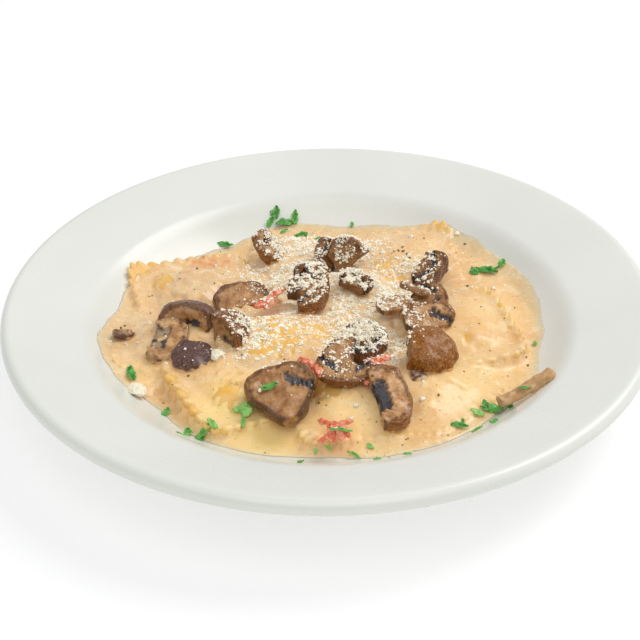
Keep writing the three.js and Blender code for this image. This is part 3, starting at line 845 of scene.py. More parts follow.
# The outline each side is cut from: a slit or a hollow of gills is sunk into closed flesh.
OUTLINE_OF = {"open": "open", "closed": "closed", "slit": "closed", "hollow": "closed"}
CAP_OUTLINE = [
    (0.97, 0.02), (1, 0.17), (0.985, 0.33), (0.93, 0.49), (0.84, 0.62), (0.7, 0.73),
    (0.5, 0.8), (0.25, 0.84), (0, 0.85),
]
STEM_POINTS = 7
STEM_REACH = 0.45  # the stem's points are nearer to the axis than this
SIDE_BLEND = 0.12  # how far one side's underside runs on into the other's
BEYOND = 2  # no cut on this side
ALL = (-BEYOND, BEYOND)
CUTS = {
    "slice": (ALL, (-0.2, 0.2), ALL),
    "cap_slice": (ALL, (-0.26, 0.26), (-0.12, BEYOND)),
    "thick_slice": (ALL, (-0.32, 0.32), (-0.55, BEYOND)),
    "quarter": ((0, BEYOND), (-BEYOND, 0), (-0.3, BEYOND)),
    "cap": (ALL, ALL, (-0.12, BEYOND)),
    "trimmed_cap": (ALL, (-BEYOND, 0.72), (-0.12, BEYOND)),
    "closed_slice": (ALL, (-0.26, 0.26), (-0.3, BEYOND)),
    "closed_quarter": ((0, BEYOND), (-BEYOND, 0), (-0.3, BEYOND)),
}
MUSHROOM_EXTENT = ((-0.951, 0.951), (-1, 1), (-0.95, 0.85))
MUSHROOM_STEPS = 56
VOXEL = 0.42
GILL_RECESS = 1.6

# Cut, cap radius, middle, and where the crown and one cut face point.
MUSHROOMS = [
    ("closed_slice", 14.5, (-73.5, -16.5, 24), (0.95, -0.2, -0.05), (0.05, -0.2, 0.97)),
    ("closed_slice", 5.5, (-95.5, -7, 23.6), (0.3, -0.9, 0.1), (0.3, -0.1, 0.95)),
    ("trimmed_cap", 10.3, (-62.5, -30.5, 24.6), (-0.15, -0.3, 0.94), (0.2, 0.9, 0.3)),
    ("thick_slice", 13, (-66, -1.5, 27), (0.05, 0.33, 0.94), (-0.12, -0.93, 0.34)),
    ("quarter", 18.5, (-40.5, -16, 29), (-0.1, 0.25, 0.96), (-0.6, 0.75, 0.1)),
    ("cap_slice", 13.5, (-41.5, 17.5, 27.8), (-0.15, 0.72, 0.62), (0.08, -0.62, 0.78)),
    ("closed_slice", 10, (-30, 62, 28), (-0.72, -0.65, 0.25), (0.3, -0.45, 0.85)),
    ("slice", 15.8, (-20.5, -63.5, 29), (-0.24, 0.9, 0.34), (0, -0.34, 0.94)),
    ("cap_slice", 15.5, (26.5, -65, 27.5), (0.93, 0.25, 0.02), (0.1, -0.36, 0.92)),
    ("trimmed_cap", 13.2, (46.5, -34.5, 30.8), (0.12, -0.25, 0.96), (-1, 0, 0.1)),
    ("closed_slice", 12.3, (46.5, -4, 28), (-0.1, 0.88, 0.45), (0, -0.45, 0.9)),
    ("closed_slice", 11.5, (51.5, 39, 27), (0.75, -0.5, 0.05), (-0.15, -0.3, 0.94)),
    ("cap", 6.5, (41, -46, 24), (0.3, 0.2, 0.9), (0.8, 0.3, 0.1)),
    ("slice", 9.5, (48, 9.5, 30), (0.95, 0.25, 0.12), (0, -0.2, 0.98)),
    ("closed_slice", 8, (30.5, 4, 30), (-0.2, 0.9, 0.35), (0.1, -0.45, 0.88)),
    ("closed_slice", 9, (-1, 51, 30), (-0.88, -0.2, 0.35), (0.1, -0.6, 0.8)),
    ("closed_quarter", 15, (10.5, 50.5, 33), (0.75, 0.1, 0.65), (-0.3, -0.85, 0.3)),
    ("closed_slice", 7.5, (-9.5, 33.5, 31), (-0.2, 0.6, 0.75), (0.1, -0.75, 0.6)),
    ("closed_slice", 9, (14, 21, 33), (0.5, 0.8, 0.2), (0, -0.3, 0.95)),
    ("thick_slice", 13.5, (-9, 7.5, 37), (0.92, -0.22, 0.08), (-0.1, -0.32, 0.94)),
    ("cap", 11.5, (15.5, -26, 28.6), (0.08, 0.12, -0.98), (0, 1, 0)),
    ("slice", 13, (6.5, -46.5, 33.5), (-0.14, -0.88, -0.42), (-0.02, -0.42, 0.9)),
]
# For each: how dark its flesh is, how plum-coloured its skin is, how much sauce lies over it,
# how wide its stem is, and its underside towards its own -X and its own +X.
LOOKS = [
    (0.3, 0.7, 0.45, 1, "hollow", "hollow"), (0.9, 1.0, 0.3, 1, "slit", "slit"),
    (0.8, 1.0, 0.0, 1, "open", "open"), (0.35, 0.8, 0.0, 1, "hollow", "closed"),
    (0.6, 0.3, 0.0, 1, "open", "open"), (0.1, 0.6, 0.0, 1, "closed", "closed"),
    (0.4, 0.15, 0.0, 1, "slit", "closed"), (0.4, 0.3, 0.0, 1, "slit", "closed"),
    (0.05, 0.2, 0.0, 1, "hollow", "hollow"), (0.6, 0.0, 0.0, 1, "open", "open"),
    (0.15, 0.2, 0.0, 1, "slit", "closed"), (0.9, 0.8, 0.0, 1, "slit", "slit"),
    (0.8, 1.0, 0.2, 1, "open", "open"), (0.7, 0.4, 0.0, 1, "slit", "slit"),
    (0.1, 0.2, 0.0, 1, "closed", "closed"), (0.9, 0.6, 0.0, 1, "slit", "closed"),
    (0.6, 0.2, 0.0, 1, "slit", "closed"), (0.9, 0.9, 0.0, 1, "closed", "slit"),
    (0.9, 0.8, 0.0, 1, "slit", "slit"), (0.6, 0.2, 0.0, 1, "open", "open"),
    (0.7, 0.6, 0.0, 1, "open", "open"), (0.3, 0.3, 0.0, 0.75, "slit", "open"),
]


def whole_mushroom(stem, left, right):
    """Points and faces of a whole mushroom of cap radius 1, with an underside on each side."""
    sides = [UNDERSIDES[OUTLINE_OF[side]] + CAP_OUTLINE for side in (left, right)]
    outlines = np.array(sides, float)
    outlines[:, :STEM_POINTS, 0] *= 1 - (1 - stem) * (outlines[:, :STEM_POINTS, 0] < STEM_REACH)
    turn = full_turn(MUSHROOM_STEPS)
    share = ease(-SIDE_BLEND, SIDE_BLEND, np.cos(turn))[None, :, None]
    outline = outlines[0][:, None] * (1 - share) + outlines[1][:, None] * share
    return wrap(np.concatenate([outline[..., :1] * compass(turn), outline[..., 1:]], -1))


def knife(bm, spans, scale):
    """Cuts a closed mesh down to its spans along X, Y and Z, and closes each cut."""
    for axis, span in enumerate(spans):
        for limit, side in zip(span, (-1, 1)):
            if abs(limit) == BEYOND:
                continue
            way = Vector((0, 0, 0))
            way[axis] = 1
            cut = bmesh.ops.bisect_plane(
                bm, geom=bm.verts[:] + bm.edges[:] + bm.faces[:], plane_co=way * (limit * scale),
                plane_no=way * side, clear_outer=True,
            )
            edges = [e for e in cut["geom_cut"] if isinstance(e, bmesh.types.BMEdge)]
            filled = bmesh.ops.holes_fill(bm, edges=edges, sides=0)["faces"]
            bmesh.ops.triangulate(bm, faces=filled, ngon_method="EAR_CLIP")


def frame_of(crown, face):
    """The mushroom's own X, Y and Z as rows, with Z along crown and Y near face."""
    up = unit(np.array(crown, float))
    front = unit(face - np.dot(face, up) * up)
    return np.array([np.cross(front, up), front, up])


def carve(name, cut, cap, underside, material):
    """A mushroom cut to shape: its skin, flesh and gills closed into one even mesh."""
    points, faces = whole_mushroom(*underside)
    mushroom = make_mesh(f"{name}_{cut}", points * cap, faces, material)
    bm = bmesh.new()
    bm.from_mesh(mushroom.data)
    knife(bm, CUTS[cut], cap * MM)
    bm.to_mesh(mushroom.data)
    bm.free()
    remesh = mushroom.modifiers.new("skin", "REMESH")
    remesh.mode = "VOXEL"
    remesh.voxel_size = VOXEL * MM
    remesh.use_smooth_shade = True
    soften = mushroom.modifiers.new("soften", "SMOOTH")
    soften.factor = 0.5
    soften.iterations = 4
    return finished(mushroom)


def growth(own, cap, stem, left, right, seed):
    """Where a cut mushroom shows skin, gills and browned edges, from 0 to 1 at each point, and
    how far the gills have sunk."""
    grown = own / cap
    radial = np.hypot(grown[:, 0], grown[:, 1])
    up = grown[:, 2]
    ragged = 0.03 * waves(own, 2.5, seed)
    crown_share = (radial**2.5 + (np.maximum(up - 0.12, 0) / 0.73) ** 2.3) ** (1 / 2.4)
    skin = ease(0.9, 0.955, crown_share + ragged) * ease(-0.12, -0.04, up)
    rightward = ease(-SIDE_BLEND, SIDE_BLEND, grown[:, 0] / np.maximum(radial, 0.05))

    def side(kind):
        """How far a point is on a side whose underside is of this kind."""
        return (left == kind) * (1 - rightward) + (right == kind) * rightward

    roof = up - (0.2 - 0.745 * (radial - 0.5)) + 2 * ragged
    ring = ease(0.4, 0.48, radial) * ease(0.97, 0.9, radial)
    comb = ring * ease(0.28, 0.12, roof) * ease(-0.34, -0.2, roof) * side("open")
    slit = ease(0.2, 0.32, radial + ragged) * ease(0.93, 0.84, radial + ragged)
    slit = slit * ease(0.18, 0.09, roof) * ease(-0.23, -0.14, roof) * side("slit")
    hollow = ease(0.62, 0.5, radial + 2 * ragged) * ease(0.3, 0.2, up + ragged) * side("hollow")
    sunk = np.maximum(slit, hollow) * (1 - skin)
    rim = ease(0.76, 0.93, crown_share + 2 * ragged)
    beside = ease(-0.1, -0.02, (radial - 0.95) * 0.81 - (up + 0.04) * 0.59) * (1 - side("open"))
    bark = ease(0.3, 0.41, radial / stem) * ease(0.0, -0.15, up) * side("open")
    edge = 0.85 * np.maximum(np.maximum(rim, bark), beside) * (1 - skin)
    across = grown[:, :2] * (0.3 / np.maximum(radial, 0.05) + 1)[:, None]
    streaks = np.column_stack([across * cap, np.hypot(radial, up) * cap * 0.6]) * MM
    gill = np.maximum(comb, sunk)
    return dict(skin=skin, gill=gill, edge=edge, grown=own * MM, streaks=streaks), sunk


def make_mushroom(index, piece, heights, material):
    cut, cap, at, crown, face = piece
    tone, plum, cream, *underside = LOOKS[index]
    name = f"mushroom_{index + 1:02d}"
    mushroom = carve(name, cut, cap, underside, material)
    own = positions(mushroom)
    seed = 100 + 10 * index
    layers, sunk = growth(own, cap, *underside, seed)
    mark(mushroom, tone=tone, plum=plum, **layers)
    wobble = 0.4 * waves(own, 8, seed + 1) + 0.06 * waves(own, 2.4, seed + 2)
    outward = read_out(mushroom.data.vertex_normals, "vector")
    own += outward * (wobble - GILL_RECESS * sunk)[:, None]
    span = [np.clip(span, *reach) for span, reach in zip(CUTS[cut], MUSHROOM_EXTENT)]
    own -= np.array([np.mean(s) for s in span]) * cap
    placed = own @ frame_of(crown, face) + at
    set_positions(mushroom, placed)
    x, y, z = placed.T
    clear = z - sample(heights, x, y) + 0.7 * waves(placed, 3, seed + 3)
    smeared = cream * ease(-0.5, 0.3, waves(placed, 6, seed + 4) + 2 * cream - 0.9)
    mark(mushroom, cream=np.clip(np.maximum(ease(1.6, 0.2, clear), smeared), 0, 0.95))
    return serve(mushroom, "mushroom", name)


# ---- Strips ---------------------------------------------------------------------------------

# Where each stick runs, its width and thickness.
STALKS = [
    ([(72, -68, 25.5), (84, -61.5, 27.5), (97, -53, 31)], 6, 4.5),
    ([(35, 16, 34), (41, 10, 34.5), (47, 5.5, 34.5)], 4, 3.5),
]
# For each: how much sauce lies over it, and how dark its flesh is.
STALK_LOOKS = [(0.35, 0.1), (0.1, 0.45)]
# Each bit of tomato is a few torn shreds: where a shred runs, its width and thickness.
TOMATOES = [
    [
        ([(-34, -4, 34.5), (-30, -1.5, 36), (-26, 0.5, 37)], 4.5, 3),
        ([(-29, 0, 36.5), (-24, 4, 37.5), (-20.5, 9, 37.5)], 3.5, 2.4),
        ([(-31, -3.5, 34), (-27, -3, 36), (-24, -1, 36.5)], 2.5, 2),
    ],
    [
        ([(-14, -43.5, 33), (-10, -47, 33.8), (-6, -52, 33)], 3.6, 2.2),
        ([(-9, -46, 33), (-5.5, -51, 33.4), (-4.5, -57, 32)], 3.2, 2.2),
        ([(-13, -47, 32.5), (-9, -49.5, 33), (-6, -50, 33)], 2.6, 1.8),
    ],
    [
        ([(15.5, -44, 31), (21, -43.5, 32), (28.5, -40, 32)], 3.4, 2.2),
        ([(20, -43.5, 31.5), (17.5, -50, 30.5), (15.5, -58, 28.8)], 3.4, 2.2),
        ([(24, -43, 31.2), (21, -48, 30.6), (18.5, -54, 29.6)], 3.6, 2),
        ([(17, -43, 31.6), (19, -46, 32), (22, -47, 31.4)], 2.6, 2),
    ],
    [
        ([(3, -84, 24.6), (-1.5, -79.5, 25), (-5.5, -76, 24)], 2.6, 1.8),
        ([(1, -83, 24.8), (5, -80.5, 25.8), (9, -78, 24.6)], 2.8, 1.8),
        ([(3, -83, 24.6), (-1.5, -87.5, 24.4), (-6, -90, 23.4)], 2.8, 1.8),
        ([(0, -79, 24.8), (2.5, -84.5, 26.2), (4.5, -90.5, 24)], 4.2, 2.4),
        ([(4, -80, 25), (5.5, -85, 26), (7.5, -88.5, 24)], 3.2, 2.2),
        ([(-1, -82, 24.6), (0, -86.5, 25.4), (1, -90.5, 23.8)], 2.8, 2),
    ],
]
STRIP_RINGS = 48
STRIP_STEPS = 28


def curve_through(route, count):
    """Points along a smooth curve through a route of three places."""
    a, b, c = (np.array(place, float) for place in route)
    t = np.linspace(-1, 1, count)[:, None]
    return b + t * (c - a) / 2 + t * t * ((c + a) / 2 - b)


def strip_rings(strip, seed, taper, lumps):
    """Rings of an uneven strip along its route, lying flat."""
    route, width, thickness = strip
    middle = curve_through(route, STRIP_RINGS)
    way = unit(np.gradient(middle, axis=0))
    across = unit(np.cross(way, (0, 0, 1.0)))
    over = np.cross(across, way)
    turn = full_turn(STRIP_STEPS)
    end = np.linspace(-1, 1, STRIP_RINGS)
    full = (1 - np.abs(end) ** taper) ** (1 / taper)
    wide = full * width / 2
    thick = full * thickness / 2
    rings = (
        middle[:, None]
        + across[:, None] * (wide[:, None] * np.cos(turn))[..., None]
        + over[:, None] * (thick[:, None] * np.sin(turn))[..., None]
    )
    flat = rings.reshape(-1, 3)
    swell = 1 + lumps * waves(flat, width * 0.9, seed).reshape(rings.shape[:2])
    return middle[:, None] + (rings - middle[:, None]) * swell[..., None]


def make_stalk(index, strip, heights, material):
    """A stick cut from a mushroom's stem: pale flesh, and skin down one side."""
    cream, tone = STALK_LOOKS[index]
    points, faces = wrap(strip_rings(strip, 300 + index, taper=14, lumps=0.1))
    name = f"stalk_{index + 1:02d}"
    stalk = make_mesh(f"{name}_stick", points, faces, material)
    x, y, z = points.T
    way = unit(np.subtract(strip[0][2], strip[0][0]))
    drawn_out = points - 0.75 * (points @ way)[:, None] * way
    side = waves(drawn_out, 4.5, 310 + index)
    mark(
        stalk, skin=ease(0.5, 1.1, side) * 0.45, gill=0.0, edge=ease(-0.3, 0.9, -side) * 0.35,
        cream=np.maximum(ease(1.4, 0.2, z - sample(heights, x, y)), cream), tone=tone, plum=0.35,
        grown=drawn_out * MM, streaks=drawn_out * MM,
    )
    return serve(stalk, "mushroom", name)


def make_tomato(index, shreds, material):
    seeds = range(330 + 10 * index, 340 + 10 * index)
    points, faces = together(
        wrap(strip_rings(shred, seed, taper=2.4, lumps=0.18))
        for shred, seed in zip(shreds, seeds)
    )
    points = points + 0.35 * np.stack(
        [waves(points, 4, 391 + index), waves(points, 4, 395 + index), waves(points, 3, 399)], -1
    )
    name = f"tomato_{index + 1:02d}"
    return serve(make_mesh(f"{name}_shreds", points, faces, material), "tomato", name)


# ---- Cheese chunks --------------------------------------------------------------------------

# Middle, size, and turn in degrees.
CHEESES = [((-86, -47, 20.5), (11, 8, 4), -35), ((-50, -30.5, 27), (8, 7, 4.5), 20)]


def broken(size, seed, fineness):
    """A chunk broken off a block: flat broken faces with crumbling edges."""
    draw = np.random.default_rng(400 + seed)
    bm = bmesh.new()
    bmesh.ops.create_icosphere(bm, subdivisions=fineness, radius=1)
    points = np.array([v.co for v in bm.verts])
    faces = [[v.index for v in f.verts] for f in bm.faces]
    bm.free()
    breaks = unit(draw.normal(size=(9, 3)))
    reach = draw.uniform(0.62, 0.85, 9)
    facing = points @ breaks.T
    length = np.min(np.where(facing > 0.05, reach / np.maximum(facing, 0.05), 9), axis=1)
    points = points * np.minimum(length, 1)[:, None]
    points *= np.array(size) / 2 / np.abs(points).max(0)
    points *= 1 + 0.05 * waves(points, 2.2, 410 + seed)[:, None]
    points += 0.12 * np.stack([waves(points, 0.9, s) for s in (420, 421, 422)], -1)
    return points, faces


def make_cheese(index, chunk, material):
    at, size, turn = chunk
    points, faces = broken(size, index, fineness=5)
    points = points @ turning(turn) + at
    name = f"cheese_{index + 1:02d}"
    return serve(make_mesh(f"{name}_chunk", points, faces, material), "cheese", name)


# ---- What falls on top ------------------------------------------------------------------------

# Where the grated cheese fell: middle, radius, amount.
CHEESE_FALLS = [
    (15, 20, 19, 1.15), (-18, 65, 14, 0.9), (12, 58, 14, 0.9), (-22, 45, 16, 0.75),
    (43, 47, 9, 0.9), (-31, -20, 12, 1.1), (-5, -2, 15, 0.5), (14, -25, 13, 1.9),
    (-10, 8, 14, 0.8), (30, 30, 16, 0.7), (0, 35, 16, 0.8), (-30, 30, 8, 0.4),
    (18, -5, 16, 1.5), (-19, -19, 13, 0.5), (38, 15, 10, 0.3), (-25, 10, 12, 0.4),
    (6, -48, 8, 0.3), (-24, -45, 7, 0.3), (68, 82, 5, 0.2), (0, 0, 95, 0.006),
]
# Crumbs of cheese large enough to tell apart: place and size.
CHEESE_CRUMBS = [
    (44, 81, 3.2), (68, 80, 3.4), (81.5, 34, 3), (8.6, -72, 3), (-30, -65, 2.4),
    (-32, -25, 2.4), (-21.5, -15, 2.6), (11, -66, 2.6), (-44, -70, 1.4), (28, 60, 3),
    (-36, 58, 2), (60, 40, 2), (47, 31, 3), (40, 52, 3.4), (-25, 70, 2.6), (8, 38, 2.6),
    (2, 3, 2.8), (-14, 25, 2.2), (40, -62, 3), (2, -86, 2), (15, -29, 2.2), (-101, -12, 1.6),
    (-94, -13, 1.4), (-88, -14, 1.4), (52, 72, 1.8), (-6, 45, 2.4), (23, 9, 2.6),
]
# Scraps of browned mushroom and gill afloat in the sauce: place and size.
SCRAPS = [
    (50.6, 78, 1.6), (71.3, 73, 1.7), (66, 66, 1.3), (69, 36, 1.8), (38.5, 63.4, 1.6),
    (47, -59.5, 1.7), (90, -25, 1.5), (90.2, -30, 1.5), (-5, -61.5, 1.2), (-63, -40.6, 1.9),
    (-39, -34, 1.4), (-64, 41.4, 1.5), (-96, 1, 1.6), (-97, -3.5, 1.8), (-72, 33, 1),
    (-55, 30, 1.1), (73, 12, 1), (70, -6, 0.9), (83, 2, 0.8), (30, -84, 0.9), (-28, -86, 0.8),
    (34, 59.5, 1.7), (36.3, 60.3, 2), (38.6, 59.4, 2), (40.4, 57, 2), (41.5, 54, 1.8),
    (58, 50, 1), (60, -40, 1), (80, -38, 0.8), (-85, 14, 1), (52, 17, 0.9), (24, -92, 0.8),
]
LANDING_CELL = 1.0
LANDING_AXIS = np.arange(-HALF_SPAN, HALF_SPAN + LANDING_CELL / 2, LANDING_CELL)
STEEPEST = 3.5  # nothing stays on a slope steeper than this


def cell(place):
    """Which cell along the landing's axis a coordinate is in."""
    nearest = np.rint((place + HALF_SPAN) / LANDING_CELL).astype(int)
    return np.clip(nearest, 0, len(LANDING_AXIS) - 1)


def landing_heights(heights, toppings):
    """Height of whatever a falling crumb meets first, over the whole well."""
    x, y = np.meshgrid(LANDING_AXIS, LANDING_AXIS, indexing="ij")
    inside = sauce_reach(np.arctan2(y, x)) - np.hypot(x, y)
    top = np.where(inside > 0.4, sample(heights, x, y), bowl_height(np.hypot(x, y)))
    for thing in toppings:
        px, py, pz = positions(thing).T
        np.maximum.at(top, (cell(px), cell(py)), pz)
    return x, y, top


def make_landing(x, y, top):
    """A draped sheet for crumbs to fall on, with how much of each falls where."""
    points = np.stack([x, y, top], -1).reshape(-1, 3)
    faces = weave(*top.shape)
    level = np.ptp(points[faces, 2], axis=1) <= STEEPEST * LANDING_CELL
    sheet = make_mesh("landing", points, faces[level].tolist(), studio_paper())
    spot = points[:, :2]
    cheese = gathered(*spot.T, CHEESE_FALLS)
    clumps = np.clip(0.55 + 1.5 * waves(spot, 5, 51) + 0.6 * waves(spot, 14, 52), 0.02, 3.2)
    reach = sauce_reach(np.arctan2(spot[:, 1], spot[:, 0])) - np.hypot(*spot.T)
    pepper = np.clip(0.6 + 0.7 * waves(spot, 16, 53), 0.05, 2) * ease(-1, 6, reach)
    mark(sheet, cheese=cheese * clumps * (reach > 2), pepper=pepper)
    return sheet


# What is strewn: its name and slot, then what it gives the scatter: where it falls, pieces for
# each square metre, smallest and largest size, length for its width, height of a heap and seed.
STREWN_VALUES = ("Where", "Amount", "Smallest", "Largest", "Length", "Heap", "Seed")
STREWN_CHEESE = [
    ("grated_cheese_crumbs", "cheese", ("cheese", 1.8e6, 0.3 * MM, 1.0 * MM, 1.3, 0.6 * MM, 61)),
    ("grated_cheese_shreds", "cheese", ("cheese", 1.7e6, 0.25 * MM, 0.55 * MM, 2.0, 0.9 * MM, 63)),
    ("grated_cheese_dust", "cheese", ("cheese", 1.6e6, 0.16 * MM, 0.36 * MM, 1.2, 0.8 * MM, 65)),
]
STREWN_PEPPER = ("cracked_pepper", None, ("pepper", 12e3, 0.15 * MM, 0.55 * MM, 1.4, 0.0, 62))


MOSTLY_SMALL = 2.2  # the higher this is, the more crumbs are near the smallest size
CRUMB_TILT = 0.6  # radians either way from lying flat
BREAKAGE = 0.7  # how far the points of a crumb are pushed, and over what distance that varies


def scatter_tree(name, material):
    """Strews uneven crumbs over a sheet, as thick and as high as an attribute says."""
    tree = bpy.data.node_groups.new(name, "GeometryNodeTree")
    kinds = {"Geometry": "Geometry", "Where": "String", "Seed": "Int"}
    for label in ("Geometry", *STREWN_VALUES):
        kind = "NodeSocket" + kinds.get(label, "Float")
        tree.interface.new_socket(label, in_out="INPUT", socket_type=kind)
    tree.interface.new_socket("Geometry", in_out="OUTPUT", socket_type="NodeSocketGeometry")
    add = partial(node, tree)
    given = add("NodeGroupInput").outputs
    where = add("GeometryNodeInputNamedAttribute", {"Name": given["Where"]}, data_type="FLOAT")
    thick = add(MATH, {0: where, 1: given["Amount"]}, operation="MULTIPLY")
    falls = {"Mesh": given["Geometry"], "Density": thick, "Seed": given["Seed"]}
    fallen = add("GeometryNodeDistributePointsOnFaces", falls).outputs["Points"]
    # In a heap some lie higher than others.
    chance = add(CHANCE, {"Seed": 5}, data_type="FLOAT")
    lift = add(MATH, {0: where, 1: given["Heap"]}, operation="MULTIPLY")
    lift = add(MATH, {0: lift, 1: chance}, operation="MULTIPLY")
    lift = add(COMBINE, {"Z": lift})
    fallen = add("GeometryNodeSetPosition", {"Geometry": fallen, "Offset": lift})
    draw = add(CHANCE, {"Seed": given["Seed"]}, data_type="FLOAT")
    small = add(MATH, {0: draw, 1: MOSTLY_SMALL}, operation="POWER")
    sizes = {"Value": small, "To Min": given["Smallest"], "To Max": given["Largest"]}
    size = add("ShaderNodeMapRange", sizes)
    widths = {"Min": (0.8, 0.6, 0.45), "Max": (1.0, 0.9, 0.8), "Seed": 7}
    stretch = add(CHANCE, widths, data_type="FLOAT_VECTOR")
    longer = add(CHANCE, {"Min": 1.0, "Max": given["Length"], "Seed": 8}, data_type="FLOAT")
    shape = add(COMBINE, {"X": longer, "Y": 1.0, "Z": 1.0})
    scale = add(VECTOR_MATH, {0: stretch, 1: shape}, operation="MULTIPLY")
    scale = add(VECTOR_MATH, {0: scale, "Scale": size}, operation="SCALE")
    least, most = (-CRUMB_TILT, -CRUMB_TILT, 0), (CRUMB_TILT, CRUMB_TILT, 2 * math.pi)
    turn = add(CHANCE, {"Min": least, "Max": most, "Seed": 9}, data_type="FLOAT_VECTOR")
    crumb = add("GeometryNodeMeshIcoSphere", {"Radius": 1.0, "Subdivisions": 1})
    each = {"Points": fallen, "Instance": crumb, "Rotation": turn, "Scale": scale}
    strewn = add("GeometryNodeInstanceOnPoints", each)
    real = add("GeometryNodeRealizeInstances", {"Geometry": strewn})
    # Every crumb is broken differently: its points are pushed by a noise about a crumb wide.
    place = add("GeometryNodeInputPosition")
    rough = add(NOISE, spaced(place, BREAKAGE, Detail=1.0)).outputs["Color"]
    push = add(VECTOR_MATH, {0: rough, 1: (0.5, 0.5, 0.5)}, operation="SUBTRACT")
    push = add(VECTOR_MATH, {0: push, "Scale": BREAKAGE * MM}, operation="SCALE")
    uneven = add("GeometryNodeSetPosition", {"Geometry": real, "Offset": push})
    painted = add("GeometryNodeSetMaterial", {"Geometry": uneven, "Material": material})
    add("NodeGroupOutput", {"Geometry": painted})
    return tree


def strew(sheet, material, name, slot, values):
    """Crumbs strewn over the sheet, as a plain mesh of its own."""
    thing = bpy.data.objects.new(name, sheet.data.copy())
    show(thing)
    tree = scatter_tree(name, material)
    modifier = thing.modifiers.new("strew", "NODES")
    modifier.node_group = tree
    for label, value in zip(STREWN_VALUES, values):
        modifier[tree.interface.items_tree[label].identifier] = value
    return serve(finished(thing), slot)


def make_bits(name, table, top, material, slot=None, *, seed, shape, sunk, fineness):
    """Small broken bits laid one by one, each sunk by a share of its height."""
    draw = np.random.default_rng(seed)
    bits = []
    for number, (x, y, size) in enumerate(table):
        bit, faces = broken(size * np.array(shape), seed + number, fineness)
        bit = bit @ turning(draw.uniform(0, 360))
        rest = top[cell(x), cell(y)]
        bits.append((bit + (x, y, rest - bit[:, 2].min() - sunk * size * shape[2]), faces))
    return serve(make_mesh(name, *together(bits), material), slot)


# ---- Parsley --------------------------------------------------------------------------------

# Place, length, turn in degrees, leaflets, width as a share of length, how young (pale) and
# how far it stands up in degrees.
PARSLEY = [
    (-26.5, 101.5, 7, 95, 2, 0.5, 0.05, 35), (-29.5, 97.5, 6, 75, 1, 0.55, 0.05, 30),
    (-21.5, 98.5, 10, 5, 1, 0.45, 0.1, 15), (-16.5, 101, 8.5, 95, 1, 0.4, 0.15, 40),
    (-52.6, 82.5, 8.5, 357, 1, 0.38, 0.0, 12),
    (-22, 90, 5, 45, 1, 0.3, 0.25, 30), (-13, 83, 7.5, 8, 1, 0.35, 0.1, 25),
    (-10.5, 84, 3.5, 70, 1, 0.5, 0.1, 25), (-4, 77.5, 5, 30, 1, 0.3, 0.25, 25),
    (14, 98.5, 3, 70, 1, 0.6, 0.2, 20),
    (74.5, 47.5, 5.5, 160, 2, 0.6, 0.0, 20), (80, 49, 11, 355, 1, 0.4, 0.0, 12),
    (87.5, 51, 4.5, 50, 1, 0.7, 0.05, 30), (84.5, 50.5, 5, 35, 1, 0.18, 0.15, 20),
    (95.7, -13.5, 3, 60, 1, 0.6, 0.1, 20),
    (70, -63.5, 10.5, 343, 1, 0.42, 0.1, 18), (67.5, -62.5, 5.5, 120, 1, 0.5, 0.15, 25),
    (77, -62.5, 8.5, 310, 1, 0.38, 0.05, 30), (73, -65.5, 5, 20, 1, 0.45, 0.15, 15),
    (83.5, -64, 6, 5, 1, 0.22, 0.2, 10), (63.5, -66, 6.5, 335, 1, 0.42, 0.75, 20),
    (55, -74, 7.5, 2, 1, 0.35, 0.05, 12), (56.5, -72.8, 3.5, 60, 1, 0.5, 0.1, 20),
    (69, -77.5, 3.8, 15, 1, 0.5, 0.3, 20), (61.5, -83, 5.5, 22, 1, 0.22, 0.35, 15),
    (-6.6, -85, 3.2, 80, 1, 0.45, 0.8, 25), (-1, -84.5, 4.2, 110, 1, 0.5, 0.75, 25),
    (4, -88, 9.5, 354, 1, 0.16, 0.4, 10), (9.5, -88.5, 6, 342, 1, 0.26, 0.3, 12),
    (16.3, -85, 3.6, 310, 1, 0.5, 0.7, 25), (19, -92.5, 3.3, 5, 1, 0.35, 0.3, 10),
    (31.5, -94, 3.6, 8, 1, 0.35, 0.35, 12), (-13, -95, 3, 0, 1, 0.4, 0.1, 10),
    (-37.5, -66.5, 6, 65, 2, 0.6, 0.9, 30), (-35.8, -68, 5.5, 40, 1, 0.6, 1.0, 30),
    (-40, -66, 4.5, 160, 1, 0.6, 0.95, 25), (-37.3, -74, 7, 88, 1, 0.24, 0.5, 20),
    (-26, -64.5, 7.5, 22, 1, 0.38, 0.15, 20), (-89.4, -35.5, 9, 282, 1, 0.42, 0.0, 20),
    (-72, -58, 5, 50, 1, 0.6, 0.1, 25), (-61, -75, 5, 100, 1, 0.6, 0.1, 25),
    (-62.5, -79, 6.5, 350, 1, 0.16, 0.75, 10), (-53.5, -77.5, 10, 34, 1, 0.3, 0.15, 22),
    (-55, -79, 4, 80, 1, 0.4, 0.2, 22), (-50, -76.5, 7, 312, 1, 0.34, 0.7, 25),
]
LEAF_STEPS = 19
LEAF_ACROSS = 9
LEAF_THICKNESS = 0.25
LEAF_SPREAD = 50  # degrees between the leaflets of one leaf
CLIMB = 1.5  # how far a leaf is lifted by what stands beside it
CLIFF = 7.0  # a leaf slips off an edge this high
NEAR_BY = np.array([(0, 3, -3, 0, 0), (0, 0, 0, 3, -3)])


